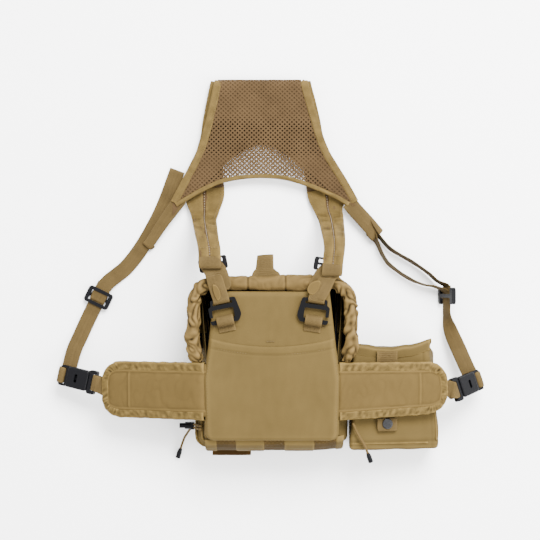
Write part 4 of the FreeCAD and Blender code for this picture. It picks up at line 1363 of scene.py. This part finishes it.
pouchFacts = {"left": 97.0, "right": 212.0, "low": -111.5, "high": 12.0, "floor": 4.4,
              "lip": [(104, 21.5), (150, 16.0), (172, 20.0), (205, 27.5)]}


def pouchShape(co):  # the stuffed block settles into the pouch's own outline
    facts = pouchFacts
    x, y, z = co / mm
    share = (z - facts["floor"]) / (78 - facts["floor"])
    low = smoothStep(-60, -111, y)
    x += (1 - share) * 4 * smoothStep(150, 103, x) + (1 - low) * share * 4.0 * smoothStep(150, 97, x)
    x -= 12.5 * smoothStep(-95, 12, y) * smoothStep(150, 212, x) * share
    z = facts["floor"] + share * (pouchTop(x) - 0.4 - facts["floor"])
    z -= 2.2 * bump(y, -20, 30) * bump(x, 150, 45) * share
    top = smoothStep(0.6, 1.0, share)
    z -= 1.3 * top * (bump(y, -100.5, 1.3) + bump(y, -105, 1.2) + 0.8 * bump(x, 205 - 12.5 * smoothStep(-95, 12, y), 1.4))
    z += 0.8 * top * rough(x / 26, y / 30, 0, 2)
    y += smoothStep(-30, 12, y) * share * (curveAt(facts["lip"], x) - 2.5 - facts["high"])
    return at(x, y, z)


def makePouch():
    facts = pouchFacts
    bm = softBoxBm((facts["left"], facts["low"], facts["floor"]), (facts["right"], facts["high"], 78), 6.0, 42, 0.9,
                   12, openTop=True)
    for vert in bm.verts:
        vert.co = pouchShape(vert.co)
    bmesh.ops.recalc_face_normals(bm, faces=bm.faces)
    bmesh.ops.solidify(bm, geom=bm.faces[:], thickness=0.002)
    body = finishPiece(bm, "pouchBody", cloth["packCloth"], "right_wing", ["pouch_body"],
                       closed=False)

    def flap(u, v):
        x = mixed(104.5, 200.5, u)
        top = pouchTop(x) - 0.8
        lip = curveAt(pouchFacts["lip"], x)
        spread = smoothStep(0.15, 0.5, v) * 4.5 * smoothStep(150, 200, x)
        route = [(lip - 13, top - 2.2), (lip - 2.5, top + 1.0), (lip, top - 3),
                 (mixed(lip - 1, 16, 0.5), top * 0.5), (14.5, 6), (11, 2.2), (-26, 1.9)]
        d = v * (len(route) - 1)
        i = min(int(d), len(route) - 2)
        y, z = [mixed(a, b, d - i) for a, b in zip(route[i], route[i + 1])]
        y += 0.9 * rough(x / 14, z / 14, 0, 4)
        return at(x + spread, y, z)

    bm = gridBm(50, 60, flap)
    bmesh.ops.smooth_vert(bm, verts=[v for v in bm.verts if not v.is_boundary], factor=0.5,
                          use_axis_x=True, use_axis_y=True, use_axis_z=True)
    bmesh.ops.recalc_face_normals(bm, faces=bm.faces)
    bmesh.ops.solidify(bm, geom=bm.faces[:], thickness=0.0018)
    flapCloth = finishPiece(bm, "pouchFlap", cloth["packCloth"], "flap", ["pouch_flap"])

    place = wingMatrix("right")
    strap = [(place @ at(60, y, -7.4 + lift), place.to_3x3() @ Vector((1, 0, 0)))
             for y, lift in ((13.5, 0), (6, 0.3), (-2, 0), (-20, 0), (-45, 0), (-69.5, 0))]
    tape("pouchBackStrap", strap, 27, 1.9, "right_wing", ["pouch_back_strap"], step=0.7, ribs=0.7)
    for i, y in enumerate((-16, -50)):
        row = [(place @ at(x, y, -5.5), place.to_3x3() @ Vector((0, 1, 0))) for x in (20, 54, 88, 122)]
        tape(f"wingRow{i}", row, 20, 1.4, "right_wing", ["wing_webbing_rows"] if i == 0 else (), step=4)
    tab = [(place @ at(60, y, -7.2), place.to_3x3() @ Vector((1, 0, 0)), w)
           for y, w in ((-70.8, 1), (-76, 1), (-81, 1), (-85, 0.97), (-87, 0.9))]
    tape("snapTab", tab, 26, 1.9, "peel_tab", ["snap_tab"], step=1.4)
    seams = [[at(x, -103, pouchTop(x) - 0.9) for x in range(100, 205, 14)],
             [at(x, -108, pouchTop(x) - 3.2) for x in range(102, 204, 14)],
             [at(209.0 - 12.5 * smoothStep(-95, 12, y), y, pouchTop(205) - 1.6) for y in range(-100, 14, 12)]]
    for i, seam in enumerate(seams):
        finishPiece(pipeBm(seam, 1.4, around=8, step=3), f"pouchPiping{i}", cloth["edgeTape"], "right_wing")


makePouch()
print("pouch made")


# ---- bottom edge of the case ----
bandProfile = [(-97.0, 89.0), (-101.5, 86.5), (-106.5, 79.0), (-111.0, 66.0), (-113.8, 50.0)]


def bandBm(x0, x1, lift, columns, rows=16):  # webbing laid over the slope of the bottom gusset
    def place(u, v, side):
        x = mixed(x0, x1, u)
        z = mixed(bandProfile[0][1], bandProfile[-1][1], v)
        y = -lineAt([(-a[1], -a[0]) for a in bandProfile], -z)
        edge = min(u * (x1 - x0), (1 - u) * (x1 - x0), v * 39, (1 - v) * 39)
        swell = lift * min(edge / 2.0, 1) ** 0.6 if side > 0 else -1.0
        y += cornerLift(x) * (1 - 0.5 * v) - swell * 0.8
        return at(x, y, z + swell * 0.5)

    bm = gridBm(columns, rows, lambda u, v: place(u, v, 1), ((x1 - x0) * mm, 0.04))
    joinBm(bm, gridBm(columns, rows, lambda u, v: place(u, v, -1), ((x1 - x0) * mm, 0.04)))
    rims = [e for e in bm.edges if e.is_boundary]
    loops = bmesh.ops.bridge_loops(bm, edges=rims)
    return bm


def makeBottomEdge():
    finishPiece(bandBm(-80, 86, 0.6, 60), "bottomWebbing", cloth["tackWebbing"], "pack",
                ["bottom_webbing"])
    for i, (x0, x1) in enumerate(((-84, -69), (-46, -9), (15, 54), (80, 90))):
        finishPiece(bandBm(x0, x1, 1.7, 20), f"bottomWebbingRun{i}", cloth["packCloth"], "pack")
    tab = [(at(-52, y, z), Vector((1, 0, 0))) for y, z in ((-106, 25), (-114, 24.6), (-121, 24.2), (-123.5, 24.0))]
    tape("bottomTab", tab, 50, 1.8, "pack", material="tabCloth", slot="black_lining", step=2)
    f = caseFacts
    for i, (z, out) in enumerate(((85.5, 1.6), (78, 3.4), (66, 3.6))):
        points = []
        for k in range(15):
            x, y, nx, ny = uPath(f["half"], f["low"], -26, f["corner"], 0.62 + 0.38 * k / 14)
            if x > -80:
                continue
            lean = -12.5 * smoothStep(60, 87, z) + out
            points.append(at(x + nx * lean, y + ny * lean, z))
        finishPiece(pipeBm(points, 1.5, around=8, step=3), f"casePiping{i}", cloth["edgeTape"], "pack")


makeBottomEdge()


# ---- shock cords ----
cordFacts = {
    "leftCord": {"body": "pack", "node": "left_cord", "tip": "left_cord_tip", "length": 0.0575,
                 "route": [(-104, -86.6, 47), (-106.5, -90, 34), (-110, -96, 20.5), (-113.5, -101, 10.5),
                           (-116.5, -108.5, 6.0), (-119.2, -117, 5.4)]},
    "rightCord": {"body": "right_wing", "node": "right_cord", "tip": "right_cord_tip", "length": 0.0437,
                  "route": [(101.5, -76.0, 86.5), (105.5, -86, 84.8), (111, -95.5, 83.6), (117, -105, 81.5),
                            (120.5, -114.5, 78)]},
}


def makeCords():
    for name, facts in cordFacts.items():
        data = bpy.data.curves.new(name, "CURVE")
        data.dimensions = "3D"
        data.bevel_depth = 1.5 * mm
        data.bevel_resolution = 3
        data.resolution_u = 10
        data.use_fill_caps = True
        spline = data.splines.new("NURBS")
        spline.points.add(len(facts["route"]) - 1)
        for point, place in zip(spline.points, facts["route"]):
            point.co = (*at(*place), 1)
        spline.order_u = 3
        spline.use_endpoint_u = True
        data.materials.append(cloth["cordCover"])
        cord = bpy.data.objects.new(name, data)
        scene.collection.objects.link(cord)
        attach(cord, facts["body"])
        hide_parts(facts["node"])
        at(*facts["route"][0])
    strands = bmesh.new()
    for y in (-80.2, -84.2):
        part = pipeBm([at(-88.5, y, 83), at(-91.5, y, 79), at(-95.5, y, 68), at(-99.3, y, 58.5)], 1.5, step=1)
        joinBm(strands, part)
    finishPiece(strands, "cordStrands", cloth["cordCover"], "pack", ["cord_strands"])


makeCords()
print("cords made")


# ---- finishes of the kept hard parts ----
keptFinish = {
    "blackAcetal": ["ladder_locks", "left_buckle_male", "right_buckle_male", "left_buckle_upper_prong",
                    "left_buckle_lower_prong", "right_buckle_upper_prong", "right_buckle_lower_prong",
                    "left_buckle_female", "right_buckle_female", "left_triglide", "right_triglide",
                    "cord_lock_barrel", "cord_lock_plunger", "left_cord_tip", "right_cord_tip"],
    "coatedMetal": ["left_g_hook", "right_g_hook", "snap_stud", "zipper_slider"],
    "polishedCap": ["snap_cap"],
    "springWire": ["cord_lock_spring"],
}
for finish, nodes in keptFinish.items():
    for node in nodes:
        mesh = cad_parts[node].data
        mesh.materials.clear()
        mesh.materials.append(hard[finish])
